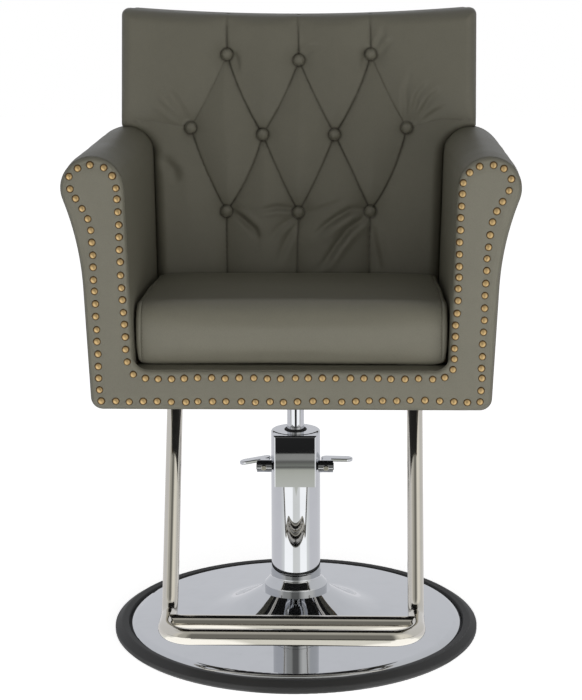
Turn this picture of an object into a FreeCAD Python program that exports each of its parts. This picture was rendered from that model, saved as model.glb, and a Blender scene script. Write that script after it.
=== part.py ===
import FreeCAD, Part
import math
import os

Vec = FreeCAD.Vector

# Styling chair on a hydraulic pump, in millimetres.
# +Z is up, the sitter faces -Y, +X is the sitter's left hand when seen from the front.
# The origin is on the floor, on the pump's axis.

# ---- base ----
ring_radius = 302.5            # outside of the rubber trim ring
ring_height = 20.0
ring_plan = 24.0               # how wide the ring looks from above
plate_wall = 4.0
rim_top = 12.0                 # top of the plate's brim, inside the ring
brim_grip = 12.0               # how far the brim goes into the ring
roll_plan = 15.0               # plan width of the rolled-down edge
roll_drop = 9.0
bell_edge = 150.0              # where the raised middle runs out into the flat part
bell_edge_z = 27.0
bell_slope = 0.62              # steepness beside the flange
hub_top = 67.0                 # flat seat under the pump's flange

# ---- pump ----
flange_radius = 52.0
flange_height = 11.0
flare_height = 12.0
neck_radius = 41.0
neck_height = 6.0
band_height = 6.0
column_radius = 40.5
cover_wall = 2.0
head_bottom = 253.0
head_top = 341.0
cap_round = 4.0
flange_bolt_circle = 76.0
flange_bolt_count = 4
flange_bolt_radius = 5.0
bolt_reach = 14.0              # how far a flange bolt goes into the flange
barrel_bore = 16.0             # inside radius of the pressure tube
barrel_wall = 3.5
barrel_seat = 12.0             # depth of the pressure tube's seat in the flange
ram_radius = 14.0
piston_height = 14.0
piston_lift_off = 6.0          # piston above the tube's foot at rest
lift_travel = 140.0
run_gap = 0.05                 # radial gap of every running fit
seal_width = 4.5
seal_height = 4.0
seal_lip = 1.5

# ---- rocker and pedals ----
shaft_y = -36.0
shaft_z = 288.0
shaft_radius = 6.0
shaft_gap = 0.1                # radial gap of the rocker shaft in the ears
shaft_half = 63.0
ear_half = 26.0
ear_height = 34.0
slot_half = 9.0
finger_half = 7.0
finger_reach = 10.0            # plunger axis behind the shaft axis
finger_drop = 6.0
finger_tip = 4.0
finger_ring = 7.2
touch_gap = 0.2                # between parts that touch without being fixed
plunger_radius = 3.5
plunger_head_radius = 6.0
plunger_head = 5.0
plunger_length = 96.0
plunger_tube_wall = 3.0
slot_floor = 4.0               # head left under the rocker's slot
spring_strip_wide = 1.6        # the return spring is coiled from flat strip
spring_strip_thick = 1.1
spring_turns = 4.0
boss_radius = 10.0
boss_inner = 38.0
pad_tip = 94.0
pad_width = 20.0
pad_thick = 5.5
pad_y = 20.0
pad_drop = 2.7                 # foot pads below the shaft's axis
pad_clear = 1.0                # between a pad's inner end and the column
arm_bar = 14.0
droop_left = 10.5              # how far each foot pad hangs, in degrees
droop_right = 1.0
screw_radius = 4.5
screw_head = 4.0
screw_stem = 3.15

# ---- cowl ----
cowl_half = 35.0
cowl_front = 46.0
cowl_wall = 2.2
cowl_round = 3.0

# ---- ram top and seat hub ----
shoulder_z = 392.0
spigot_radius = 11.0
spigot_height = 36.0
washer_radius = 20.0
washer_height = 3.0
bush_wall = 4.0
hub_wall = 9.0
hub_flange_radius = 38.0
hub_flange_height = 8.0
mount_plate_half_x = 100.0
mount_plate_half_y = 85.0
mount_plate_thick = 6.0
mount_bolt_x = 75.0
mount_bolt_y = 60.0
mount_bolt_radius = 4.0
hex_head_height = 5.3
hex_head_flats = 13.0

# ---- chair body ----
body_bottom = 440.0
face_y = -270.0                # front of the upholstered face
face_thick = 12.0
rail_top = 500.0
opening_round = 24.0
bottom_half = 299.5            # half width at the very bottom
flare_half = 310.5             # half width where the arm starts to roll out
flare_z = 691.0
flare_round = 430.0
bottom_round = 18.0
scroll_x = 290.8               # centre of the rolled arm top
scroll_z = 773.0
scroll_radius = 46.7
scroll_tangent = 20.0          # where the outer side meets the roll, degrees below level
inner_low = 235.5              # inner half width of the arms at the rail
arm_splay = 5.0                # how far the arm's rear end stands further out
arm_drop = 6.0                 # and lower than its front end
board_thick = 18.0
board_inner = 258.0
board_top = 790.0
rail_thick = 22.0
lip_thick = 3.0                # the face's cover, turned back over the front rail
cross_rail_width = 40.0
deck_thick = 15.0
cover_thick = 1.0
soft_gap = 0.3

# ---- seat cushion ----
cushion_half = 230.5
cushion_front = -240.0
cushion_crown = 592.0
cushion_back = 573.0
cushion_round = 22.0
cushion_side_round = 12.0

# ---- back ----
recline = 11.5
back_y = 180.0                 # front of the back where the cushion meets it
back_ref_z = 567.0
back_wrap = 30.0               # sides stand this far forward of the middle
back_half = 302.0
pad_thickness = 60.0
back_board_thick = 15.0
shell_thick = 30.0
back_top = 1000.0               # top edge in the middle
back_rise = 13.5               # how much higher the corners are
button_radius = 10.6
button_thick = 9.0
button_dome = 4.0              # height of the button's sloping rim
tuft_depth = 14.0
tuft_radius = 24.0
button_pitch = 123.5
button_top_z = 925.0
button_top_rise = 10.0         # each row's rise one pitch out from its middle
button_mid_z = 798.4
button_mid_rise = 6.2
button_low_z = 669.0
button_low_rise = 2.5

# ---- footrest ----
tube_radius = 12.7
tube_wall = 2.0
weld_gap = 0.1
leg_x = 193.0
leg_bend_y = -42.0
leg_foot_y = -198.0
foot_z = 95.0
front_bar_y = -305.0
rear_bar_y = -245.0
leg_end_y = 100.0
top_bend = 60.0
foot_bend = 35.0
corner_bend = 42.0
foot_plate_half = 30.0
foot_plate_thick = 3.0
foot_bolt_offset = 21.0

# ---- sizes that follow ----
ring_inner = ring_radius - ring_plan
rim_bottom = rim_top - plate_wall
brim_edge = ring_inner + brim_grip
flange_top = hub_top + flange_height
neck_z = flange_top + flare_height
band_z = neck_z + neck_height
cover_z = band_z + band_height
barrel_z = band_z - barrel_seat
barrel_outer = barrel_bore + barrel_wall
piston_z = barrel_z + piston_lift_off
ram_foot = piston_z + piston_height
plunger_y = shaft_y + finger_reach
plunger_top = shaft_z - finger_drop - finger_tip - touch_gap
slot_z = head_bottom + slot_floor
spring_top = plunger_top - plunger_head
bush_radius = spigot_radius + run_gap
hub_bore = bush_radius + bush_wall
hub_z = shoulder_z + washer_height + touch_gap
plate_z = body_bottom - mount_plate_thick
cover_inner = column_radius - cover_wall
deck_top = rail_top
deck_z = deck_top - deck_thick
panel_back = face_y + face_thick
slab_half = 1.05 * max(back_half, scroll_x + scroll_radius + arm_splay)
lean = math.tan(math.radians(recline))
arm_reach = back_y + pad_thickness + (scroll_z + scroll_radius - back_ref_z) * lean - panel_back
far = 3.0 * ring_radius        # longer than anything it cuts
tube_z = body_bottom - foot_plate_thick - tube_radius + 0.5


def box(x0, x1, y0, y1, z0, z1):
    return Part.makeBox(x1 - x0, y1 - y0, z1 - z0, Vec(x0, y0, z0))


def rod(radius, z0, z1, x=0.0, y=0.0):
    return Part.makeCylinder(radius, z1 - z0, Vec(x, y, z0))


def cross_rod(radius, x0, x1, y, z):
    """A cylinder that lies along X."""
    return Part.makeCylinder(radius, x1 - x0, Vec(x0, y, z), Vec(1, 0, 0))


def ring(outer, inner, z0, z1):
    return rod(outer, z0, z1).cut(rod(inner, z0, z1))


def hexagon(flats, z0, z1, x=0.0, y=0.0):
    corner = flats / math.sqrt(3.0)
    turns = [math.radians(60 * i) for i in range(7)]
    points = [Vec(x + corner * math.cos(turn), y + corner * math.sin(turn), z0) for turn in turns]
    return Part.Face(Part.makePolygon(points)).extrude(Vec(0, 0, z1 - z0))


def mirrored(shape):
    return shape.mirror(Vec(0, 0, 0), Vec(1, 0, 0))


def rounded_wire(corners, closed=True):
    """A wire through corners, each (point, radius), with every corner that has a radius made an arc."""
    count = len(corners)
    starts, ends, edges = [], [], []
    for i, (point, radius) in enumerate(corners):
        if not radius or (not closed and i in (0, count - 1)):
            starts.append(point)
            ends.append(point)
            edges.append(None)
            continue
        before = (corners[i - 1][0] - point).normalize()
        after = (corners[(i + 1) % count][0] - point).normalize()
        half = before.getAngle(after) / 2.0
        reach = radius / math.tan(half)
        middle = (before + after).normalize() * (radius / math.sin(half) - radius)
        starts.append(point + before * reach)
        ends.append(point + after * reach)
        edges.append(Part.Arc(starts[-1], point + middle, ends[-1]).toShape())
    chain = []
    for i in range(count):
        if edges[i] is not None:
            chain.append(edges[i])
        last = i == count - 1
        if last and not closed:
            break
        here, there = ends[i], starts[(i + 1) % count]
        if here.distanceToPoint(there) > 1e-6:
            chain.append(Part.LineSegment(here, there).toShape())
    return Part.Wire(chain)


def flat_face(corners, y):
    """A face in the plane y, from (x, z, radius) corners."""
    return Part.Face(rounded_wire([(Vec(x, y, z), r) for x, z, r in corners]))


def turned(edges):
    """A solid turned about Z from edges in the XZ plane."""
    return Part.Face(Part.Wire(edges)).revolve(Vec(0, 0, 0), Vec(0, 0, 1), 360)


def turned_corners(corners):
    return Part.Face(rounded_wire([(Vec(x, 0, z), r) for x, z, r in corners])).revolve(
        Vec(0, 0, 0), Vec(0, 0, 1), 360)


def line(a, b):
    return Part.LineSegment(Vec(a[0], 0, a[1]), Vec(b[0], 0, b[1])).toShape()


def arc(a, b, c):
    return Part.Arc(Vec(a[0], 0, a[1]), Vec(b[0], 0, b[1]), Vec(c[0], 0, c[1])).toShape()


# ---------------------------------------------------------------- base
def base_plate():
    """Pressed plate: flat seat, a bell that runs out into a nearly flat disc, a rolled edge and a brim."""
    seat_edge = flange_radius + 6.0
    roll_start = ring_inner - roll_plan
    roll_z = rim_top + roll_drop
    fall = (bell_edge_z - roll_z) / (roll_start - bell_edge)
    span = (bell_edge - seat_edge) / 3.0

    def skin(drop):
        poles = [Vec(seat_edge, 0, hub_top - drop),
                 Vec(seat_edge + span, 0, hub_top - bell_slope * span - drop),
                 Vec(bell_edge - span, 0, bell_edge_z + fall * span - drop),
                 Vec(bell_edge, 0, bell_edge_z - drop)]
        bell = Part.BezierCurve()
        bell.setPoles(poles)
        roll = (roll_start + 0.72 * roll_plan, roll_z - 0.42 * roll_drop - drop)
        return [line((0, hub_top - drop), (seat_edge, hub_top - drop)), bell.toShape(),
                line((bell_edge, bell_edge_z - drop), (roll_start, roll_z - drop)),
                arc((roll_start, roll_z - drop), roll, (ring_inner, rim_top - drop)),
                line((ring_inner, rim_top - drop), (brim_edge, rim_top - drop))]

    edges = skin(0.0) + [line((brim_edge, rim_top), (brim_edge, rim_bottom))]
    edges += skin(plate_wall)[::-1] + [line((0, hub_top - plate_wall), (0, hub_top))]
    plate = turned(edges)
    for x, y in flange_bolt_places():
        plate = plate.cut(rod(flange_bolt_radius, hub_top - 2 * plate_wall, hub_top + 1, x, y))
    return plate


def trim_ring():
    lip = 2.0
    corners = [(ring_inner + 4, 0, 0), (ring_radius - 5, 0, 3), (ring_radius, 5, 3), (ring_radius, 12, 3),
               (ring_radius - 12, ring_height, 6), (ring_inner + lip, ring_height - 1.5, 1.5),
               (ring_inner, rim_top, 0), (brim_edge, rim_top, 0), (brim_edge, rim_bottom, 0),
               (ring_inner + lip, rim_bottom, 0)]
    return turned_corners(corners)


def flange_bolt_places():
    step = 360.0 / flange_bolt_count
    radius = flange_bolt_circle / 2.0
    return [(radius * math.cos(math.radians(45 + step * i)), radius * math.sin(math.radians(45 + step * i)))
            for i in range(flange_bolt_count)]


# ---------------------------------------------------------------- pump
def pump_flange():
    corners = [(0, hub_top, 0), (flange_radius, hub_top, 0), (flange_radius, flange_top, 2.5),
               (neck_radius, neck_z, 6), (neck_radius, band_z, 0), (0, band_z, 0)]
    body = turned_corners(corners).cut(rod(barrel_outer, barrel_z, band_z))
    for x, y in flange_bolt_places():
        body = body.cut(rod(flange_bolt_radius, hub_top, hub_top + bolt_reach, x, y))
    return body


def flange_bolts():
    under = hub_top - plate_wall
    bolts = []
    for x, y in flange_bolt_places():
        shank = rod(flange_bolt_radius, under, hub_top + bolt_reach, x, y)
        head = hexagon(hex_head_flats + 2, under - hex_head_height, under, x, y)
        bolts.append(shank.fuse(head).removeSplitter())
    return Part.Compound(bolts)


def pump_barrel():
    return ring(barrel_outer, barrel_bore, barrel_z, head_bottom)


def pump_cover():
    return ring(column_radius, cover_inner, cover_z, head_bottom)


def cover_band():
    return ring(neck_radius + 0.6, cover_inner - 3, band_z, cover_z)


def pump_head():
    """The casting that guides the ram, carries the rocker shaft in two ears and guides the plunger."""
    head = rod(column_radius, head_bottom, head_top)
    head = head.makeFillet(cap_round, [e for e in head.Edges if e.BoundBox.ZMin > head_top - 0.01])
    ears = box(-ear_half, ear_half, shaft_y - shaft_radius - 1, 0,
               shaft_z - ear_height / 2, shaft_z + ear_height / 2)
    head = head.fuse(ears).removeSplitter()
    cuts = [rod(ram_radius + run_gap, head_bottom, head_top),
            rod(ram_radius + seal_width, head_top - seal_height, head_top),
            box(-slot_half, slot_half, -2 * column_radius, plunger_y + plunger_head_radius + 1,
                slot_z, shaft_z + ear_height / 2 + 1),
            rod(plunger_radius + run_gap, head_bottom, slot_z, 0, plunger_y),
            cross_rod(shaft_radius + shaft_gap, -column_radius, column_radius, shaft_y, shaft_z)]
    return head.cut(cuts)


def ram_wiper():
    wiper = ring(ram_radius + seal_width, ram_radius + run_gap, head_top - seal_height, head_top + seal_lip)
    return wiper.makeChamfer(1.0, [e for e in wiper.Edges
                                   if e.BoundBox.ZMin > head_top + 0.1 and e.BoundBox.XMax > ram_radius + 1])


def pump_cowl():
    """The bright cover over the rocker: flat front, two sides that end on the column, closed top."""
    outer = box(-cowl_half, cowl_half, -cowl_front, 0, head_bottom + 2, head_top)
    rims = [e for e in outer.Edges if e.BoundBox.YMax < 0.1 - cowl_front and e.BoundBox.ZMax > head_bottom + 3]
    outer = outer.makeFillet(cowl_round, rims)
    inner = box(cowl_wall - cowl_half, cowl_half - cowl_wall, cowl_wall - cowl_front, 1,
                head_bottom, head_top - cowl_wall)
    cowl = outer.cut([inner, rod(column_radius + touch_gap, head_bottom, head_top),
                      cross_rod(shaft_radius + 0.8, -cowl_half, cowl_half, shaft_y, shaft_z)])
    return max(cowl.Solids, key=lambda solid: solid.Volume)


def plunger_tube():
    outer = plunger_radius + plunger_tube_wall
    foot = plunger_top - plunger_length
    tube = rod(outer, foot, head_bottom, 0, plunger_y)
    return tube.cut(rod(plunger_radius + run_gap, foot, head_bottom, 0, plunger_y))


def plunger():
    stem = rod(plunger_radius, plunger_top - plunger_length, plunger_top, 0, plunger_y)
    return stem.fuse(rod(plunger_head_radius, spring_top, plunger_top, 0, plunger_y)).removeSplitter()


def plunger_spring():
    """An open coil of flat strip between the slot's floor and the plunger's head."""
    inner = plunger_radius + 0.4
    low = slot_z + spring_strip_thick / 2
    height = spring_top - slot_z - spring_strip_thick
    helix = Part.makeHelix(height / spring_turns, height, inner + spring_strip_wide / 2)
    half = spring_strip_thick / 2
    outer = inner + spring_strip_wide
    corners = [(inner, -half), (outer, -half), (outer, half), (inner, half)]
    points = [Vec(x, 0, z) for x, z in corners]
    coil = Part.Wire(helix).makePipeShell([Part.makePolygon(points + points[:1])], True, True)
    coil.translate(Vec(0, plunger_y, low))
    return coil


# ---------------------------------------------------------------- rocker and pedals
def rocker_shaft():
    return cross_rod(shaft_radius, -shaft_half, shaft_half, shaft_y, shaft_z)


def rocker_finger():
    ring_part = cross_rod(finger_ring, -finger_half, finger_half, shaft_y, shaft_z)
    tip = cross_rod(finger_tip, -finger_half, finger_half, plunger_y, shaft_z - finger_drop)
    corners = [(shaft_y, shaft_z + 5), (plunger_y + 2, shaft_z - finger_drop + 3.4),
               (plunger_y - 2, shaft_z - finger_drop - 3.4), (shaft_y, shaft_z - 5)]
    points = [Vec(-finger_half, y, z) for y, z in corners]
    web = Part.Face(Part.makePolygon(points + points[:1])).extrude(Vec(2 * finger_half, 0, 0))
    finger = ring_part.fuse([tip, web]).removeSplitter()
    return finger.cut(cross_rod(shaft_radius, -finger_half, finger_half, shaft_y, shaft_z))


def pedal(droop):
    """One foot lever: a clamp boss on the shaft, a bar back past the column and a flat pad."""
    boss = cross_rod(boss_radius, boss_inner, shaft_half - 1, shaft_y, shaft_z)
    radius = pad_width / 2
    pad_z = shaft_z - pad_drop
    inner_x = column_radius + pad_clear + radius
    bar = box(inner_x - arm_bar / 2, inner_x + arm_bar / 2, shaft_y, pad_y, pad_z - pad_thick / 2,
              pad_z + pad_thick / 2)
    blade = box(inner_x, pad_tip - radius, pad_y - radius, pad_y + radius, -pad_thick / 2, pad_thick / 2)
    for x in (inner_x, pad_tip - radius):
        blade = blade.fuse(Part.makeCylinder(radius, pad_thick, Vec(x, pad_y, -pad_thick / 2)))
    blade = blade.removeSplitter()
    blade = blade.makeFillet(pad_thick / 4, [e for e in blade.Edges if abs(e.BoundBox.ZLength) < 0.01])
    blade.translate(Vec(0, 0, pad_z))
    blade.rotate(Vec(inner_x, 0, pad_z), Vec(0, 1, 0), droop)
    lever = boss.fuse([bar, blade]).removeSplitter()
    screw_x = (boss_inner + shaft_half) / 2
    hole = Part.makeCylinder(screw_stem, boss_radius + 2, Vec(screw_x, shaft_y, shaft_z), Vec(0, -1, 0))
    return lever.cut([cross_rod(shaft_radius, 0, shaft_half, shaft_y, shaft_z), hole])


def pedal_screws():
    """A set screw in each clamp boss, with its head proud of the boss."""
    screw_x = (boss_inner + shaft_half) / 2
    seat = Vec(screw_x, shaft_y - shaft_radius, shaft_z)
    stem = Part.makeCylinder(screw_stem, boss_radius - shaft_radius + 0.2, seat, Vec(0, -1, 0))
    head_seat = Vec(screw_x, shaft_y - boss_radius, shaft_z)
    head = Part.makeCylinder(screw_radius, screw_head, head_seat, Vec(0, -1, 0))
    shaft = cross_rod(shaft_radius, 0, shaft_half, shaft_y, shaft_z)
    boss = cross_rod(boss_radius, boss_inner, shaft_half, shaft_y, shaft_z)
    face = shaft_y - boss_radius - screw_head
    head = head.makeChamfer(0.8, [e for e in head.Edges if e.BoundBox.YMax < face + 0.1])
    screw = stem.cut(shaft).fuse(head.cut(boss)).removeSplitter()
    return Part.Compound([screw, mirrored(screw)])


# ---------------------------------------------------------------- ram and hub
def ram():
    stem = rod(ram_radius, ram_foot, shoulder_z)
    spigot = rod(spigot_radius, shoulder_z, shoulder_z + spigot_height)
    body = stem.fuse(spigot).removeSplitter()
    tip = [e for e in body.Edges if e.BoundBox.ZMin > shoulder_z + spigot_height - 0.01]
    return body.makeChamfer(1.5, tip)


def ram_piston():
    groove = ring(barrel_bore, barrel_bore - 2.5, piston_z + 5, piston_z + 9)
    return rod(barrel_bore - run_gap, piston_z, ram_foot).cut(groove)


def piston_seal():
    return ring(barrel_bore - run_gap, barrel_bore - 2.5, piston_z + 5, piston_z + 9)


def thrust_washer():
    return ring(washer_radius, spigot_radius, shoulder_z, shoulder_z + washer_height)


def hub_bush():
    return ring(hub_bore, bush_radius, hub_z, shoulder_z + spigot_height)


def seat_hub():
    outer = hub_bore + hub_wall
    corners = [(0, hub_z, 0), (outer, hub_z, 2), (outer + 1, plate_z - hub_flange_height, 6),
               (hub_flange_radius, plate_z - hub_flange_height + 2, 2), (hub_flange_radius, plate_z, 0),
               (0, plate_z, 0)]
    return turned_corners(corners).cut(rod(hub_bore, hub_z, shoulder_z + spigot_height + 2))


def mount_bolt_places():
    return [(x, y) for x in (-mount_bolt_x, mount_bolt_x) for y in (-mount_bolt_y, mount_bolt_y)]


def seat_mount_plate():
    plate = box(-mount_plate_half_x, mount_plate_half_x, -mount_plate_half_y, mount_plate_half_y,
                plate_z, body_bottom)
    plate = plate.makeFillet(15.0, [e for e in plate.Edges if e.BoundBox.ZLength > mount_plate_thick - 0.1])
    return plate.cut([rod(mount_bolt_radius, plate_z, body_bottom, x, y) for x, y in mount_bolt_places()])


def hex_bolt(x, y, under, top):
    shank = rod(mount_bolt_radius, under, top, x, y)
    return shank.fuse(hexagon(hex_head_flats, under - hex_head_height, under, x, y)).removeSplitter()


def seat_mount_bolts():
    return Part.Compound([hex_bolt(x, y, plate_z, deck_z) for x, y in mount_bolt_places()])


# ---------------------------------------------------------------- chair body
def arm_corners():
    """The rolled arm's outline as edges in the XZ plane, from the inner foot round to the inner side."""
    angle = math.radians(scroll_tangent)
    touch = Vec(scroll_x + scroll_radius * math.cos(angle), 0, scroll_z - scroll_radius * math.sin(angle))
    foot = Vec(inner_low, 0, body_bottom)
    open_wire = rounded_wire([(foot, 0), (Vec(bottom_half, 0, body_bottom), bottom_round),
                              (Vec(flare_half, 0, flare_z), flare_round), (touch, 0)], closed=False)
    crown = Vec(scroll_x, 0, scroll_z + scroll_radius)
    inner = Vec(scroll_x - scroll_radius, 0, scroll_z)
    roll = Part.Arc(touch, crown, inner).toShape()
    elbow = Vec(inner_low, 0, rail_top)
    sides = [Part.LineSegment(inner, elbow).toShape(), Part.LineSegment(elbow, foot).toShape()]
    return Part.Wire(open_wire.Edges + [roll] + sides)


def arm_face(y):
    face = Part.Face(arm_corners())
    face.translate(Vec(0, y, 0))
    return face


def back_slab(front, thick, corners):
    """A slice of the curved, reclined back, front and thick measured from the back's front surface."""
    radius = (back_half ** 2 + back_wrap ** 2) / (2 * back_wrap)
    base_z = body_bottom - rail_thick
    height = back_top + 3 * back_rise - base_z
    centre_y = back_y + (base_z - back_ref_z) * lean - radius
    half = 1.1 * slab_half

    def bow(reach):
        side = centre_y + math.sqrt(reach ** 2 - half ** 2)
        return [Vec(-half, side, base_z), Vec(0, centre_y + reach, base_z), Vec(half, side, base_z)]

    near, away = bow(radius + front), bow(radius + front + thick)
    wire = Part.Wire([Part.Arc(*near).toShape(), Part.LineSegment(near[2], away[2]).toShape(),
                      Part.Arc(*away[::-1]).toShape(), Part.LineSegment(away[0], near[0]).toShape()])
    slab = Part.Face(wire).extrude(Vec(0, lean * height, height))
    return slab.common(flat_face(corners, face_y).extrude(Vec(0, far, 0)))


def top_hollow(drop=0.0):
    """What is taken off the back's top so that its edge dips in the middle in one arc."""
    half = 1.2 * back_half
    left = Vec(-half, face_y, back_top + back_rise * (half / back_half) ** 2 - drop)
    right = Vec(half, face_y, left.z)
    roof = Vec(half, face_y, back_top + back_half), Vec(-half, face_y, back_top + back_half)
    dip = Part.Arc(left, Vec(0, face_y, back_top - drop), right).toShape()
    sides = Part.makePolygon([right, roof[0], roof[1], left]).Edges
    return Part.Face(Part.Wire([dip] + sides)).extrude(Vec(0, far, 0))


def back_panel_corners(half, low, round_low):
    top = back_top + 2 * back_rise
    return [(-half, low, round_low), (half, low, round_low), (half, top, 0), (-half, top, 0)]


def behind_surface(front):
    """Everything behind a surface that lies front millimetres behind the back's front surface."""
    low, high, half = body_bottom - 0.5 * rail_thick, back_top + 2 * back_rise, slab_half
    corners = [(-half, low, 0), (half, low, 0), (half, high, 0), (-half, high, 0)]
    return back_slab(front, 2 * back_half, corners)


def arm():
    """A rolled arm with a slot for its board, open at the bottom and at both ends."""
    solid = arm_face(panel_back).extrude(Vec(arm_splay, arm_reach, -arm_drop))
    foot = box(0, board_inner, panel_back, panel_back + arm_reach, body_bottom - rail_thick, rail_top)
    return solid.cut([behind_surface(pad_thickness - soft_gap), arm_board_blank(), foot])


def arm_board_blank():
    outer = board_inner + board_thick
    corners = [(board_inner, body_bottom), (outer, body_bottom), (outer, board_top), (board_inner, board_top)]
    outline = [Vec(x, panel_back, z) for x, z in corners]
    return Part.Face(Part.makePolygon(outline + outline[:1])).extrude(Vec(0, arm_reach, 0))


def arm_board():
    return arm_board_blank().cut(behind_surface(pad_thickness))


def front_panel():
    """The one-piece face: both arm fronts and the rail between them, round an opening with soft corners."""
    right = arm_face(face_y).extrude(Vec(0, face_thick, 0))
    rail = box(-inner_low - 5, inner_low + 5, face_y, panel_back, body_bottom, rail_top + 2 * opening_round)
    top = scroll_z
    opening = flat_face([(-inner_low, rail_top, opening_round), (inner_low, rail_top, opening_round),
                         (scroll_x - scroll_radius, top, 0), (scroll_radius - scroll_x, top, 0)], face_y)
    opening = opening.extrude(Vec(0, face_thick, 0))
    lowered = rail.cut(opening)
    half = inner_low - soft_gap
    lip = box(-half, half, face_y + face_thick / 2, panel_back + rail_thick, rail_top - lip_thick, rail_top)
    return right.fuse([mirrored(right), lowered, lip]).removeSplitter()


def front_rail_board():
    return box(-board_inner, board_inner, panel_back, panel_back + rail_thick, body_bottom, rail_top - lip_thick)


def back_rail_board():
    rear = back_y + (body_bottom - back_ref_z) * lean + pad_thickness - back_wrap
    return box(-board_inner, board_inner, rear - rail_thick, rear, body_bottom, deck_z)


def cross_rails():
    rails = []
    for y in (-mount_bolt_y, mount_bolt_y):
        half = cross_rail_width / 2
        rail = box(-board_inner, board_inner, y - half, y + half, body_bottom, deck_z)
        holes = [rod(mount_bolt_radius, body_bottom, deck_z, x, y) for x in (-mount_bolt_x, mount_bolt_x)]
        if y > 0:
            holes += [rod(mount_bolt_radius, body_bottom, deck_z, x, y) for x in foot_bolt_places()]
        rails.append(rail.cut(holes))
    return Part.Compound(rails)


def seat_deck():
    rear = back_y + (body_bottom - back_ref_z) * lean + pad_thickness - back_wrap
    return box(-board_inner, board_inner, panel_back + rail_thick, rear, deck_z, deck_top)


def dust_cover():
    rear = back_y + (body_bottom - back_ref_z) * lean + pad_thickness - back_wrap
    sheet = box(-board_inner, board_inner, panel_back, rear, body_bottom - cover_thick, body_bottom)
    half_x, half_y = mount_plate_half_x + 2, mount_plate_half_y + 2
    window = box(-half_x, half_x, -half_y, half_y, body_bottom - 5, body_bottom + 1)
    cuts = [window]
    for x in (-leg_x, leg_x):
        reach = foot_plate_half + 2
        cuts.append(box(x - reach, x + reach, mount_bolt_y - reach, mount_bolt_y + reach,
                        body_bottom - 5, body_bottom + 1))
    return sheet.cut(cuts)


def seat_cushion():
    low = deck_top + soft_gap
    rear = back_y + 60
    slope = (cushion_crown - cushion_back) / (back_y - cushion_front - 40)
    corners = [(cushion_front, low), (cushion_front, cushion_crown - 8), (cushion_front + 40, cushion_crown),
               (rear, cushion_crown - slope * (rear - cushion_front - 40)), (rear, low)]
    radii = (4, cushion_round, 60, 0, 0)
    wire = rounded_wire([(Vec(-cushion_half, y, z), r) for (y, z), r in zip(corners, radii)])
    cushion = Part.Face(wire).extrude(Vec(2 * cushion_half, 0, 0))
    outline = [(-cushion_half, low, opening_round), (cushion_half, low, opening_round),
               (cushion_half, cushion_crown, cushion_side_round),
               (-cushion_half, cushion_crown, cushion_side_round)]
    envelope = flat_face(outline, cushion_front).extrude(Vec(0, rear - cushion_front, 0))
    return cushion.common(envelope).cut(behind_surface(-1.0))


# ---------------------------------------------------------------- back
def back_front(x, z):
    """Y of the back's front surface at a place on it."""
    return back_y + (z - back_ref_z) * lean - back_wrap * (x / back_half) ** 2


def button_places():
    three, four = (-1.0, 0.0, 1.0), (-1.5, -0.5, 0.5, 1.5)
    rows = ((button_top_z, button_top_rise, three), (button_mid_z, button_mid_rise, four),
            (button_low_z, button_low_rise, three))
    return [(step * button_pitch, z + rise * step ** 2) for z, rise, steps in rows for step in steps]


def arm_space():
    """The room one arm takes, a little larger all round."""
    grown = arm_face(panel_back).makeOffset2D(soft_gap)
    return grown.extrude(Vec(arm_splay, arm_reach, -arm_drop))


def back_pad():
    """The tufted pad: it fills the width between the arms and rests on their tops."""
    pad = back_slab(0.0, pad_thickness - soft_gap, back_panel_corners(back_half, deck_top + soft_gap, 0))
    right = arm_space()
    tufts = [top_hollow(), right, mirrored(right)]
    for x, z in button_places():
        y = back_front(x, z)
        tufts.append(Part.makeCone(tuft_radius, button_radius + 0.5, tuft_depth, Vec(x, y, z), Vec(0, 1, 0)))
    return max(pad.cut(tufts).Solids, key=lambda solid: solid.Volume)


def back_buttons():
    buttons = []
    for x, z in button_places():
        seat = back_front(x, z) + tuft_depth - soft_gap
        disc = Part.makeCylinder(button_radius, button_thick, Vec(x, seat, z), Vec(0, -1, 0))
        rim = [e for e in disc.Edges if e.BoundBox.YMax < seat - button_thick + 0.01]
        buttons.append(disc.makeChamfer(button_dome, rim))
    return Part.Compound(buttons)


def back_board():
    inset = 8.0
    board = back_slab(pad_thickness, back_board_thick, back_panel_corners(back_half - inset, body_bottom, 0))
    return board.cut(top_hollow(inset))


def back_shell():
    shell = back_slab(pad_thickness + back_board_thick, shell_thick,
                      back_panel_corners(back_half, body_bottom, bottom_round))
    return shell.cut(top_hollow())


# ---------------------------------------------------------------- footrest
def foot_path():
    """Centre line of the footrest tube, from one end under the seat round to the other."""
    side = [(Vec(leg_x, leg_end_y, tube_z), 0), (Vec(leg_x, leg_bend_y, tube_z), top_bend),
            (Vec(leg_x, leg_foot_y, foot_z), foot_bend), (Vec(leg_x, front_bar_y, foot_z), corner_bend)]
    other = [(Vec(-p.x, p.y, p.z), r) for p, r in reversed(side)]
    return rounded_wire(side + other, closed=False)


def footrest_frame():
    path = foot_path()
    start = Vec(leg_x, leg_end_y, tube_z)
    outer = Part.Wire(Part.makeCircle(tube_radius, start, Vec(0, 1, 0)))
    inner = Part.Wire(Part.makeCircle(tube_radius - tube_wall, start, Vec(0, 1, 0)))
    shell = path.makePipeShell([outer], True, False)
    core = path.makePipeShell([inner], True, False)
    return shell.cut(core)


def footrest_rear_bar():
    bar = ring(tube_radius, tube_radius - tube_wall, -leg_x, leg_x)
    bar.rotate(Vec(0, 0, 0), Vec(0, 1, 0), 90)
    bar.translate(Vec(0, rear_bar_y, foot_z))
    reach = 4 * tube_radius
    starts = [Vec(x, rear_bar_y - reach, foot_z) for x in (-leg_x, leg_x)]
    saddles = [Part.makeCylinder(tube_radius + weld_gap, 2 * reach, start, Vec(0, 1, 0)) for start in starts]
    return bar.cut(saddles)


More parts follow.
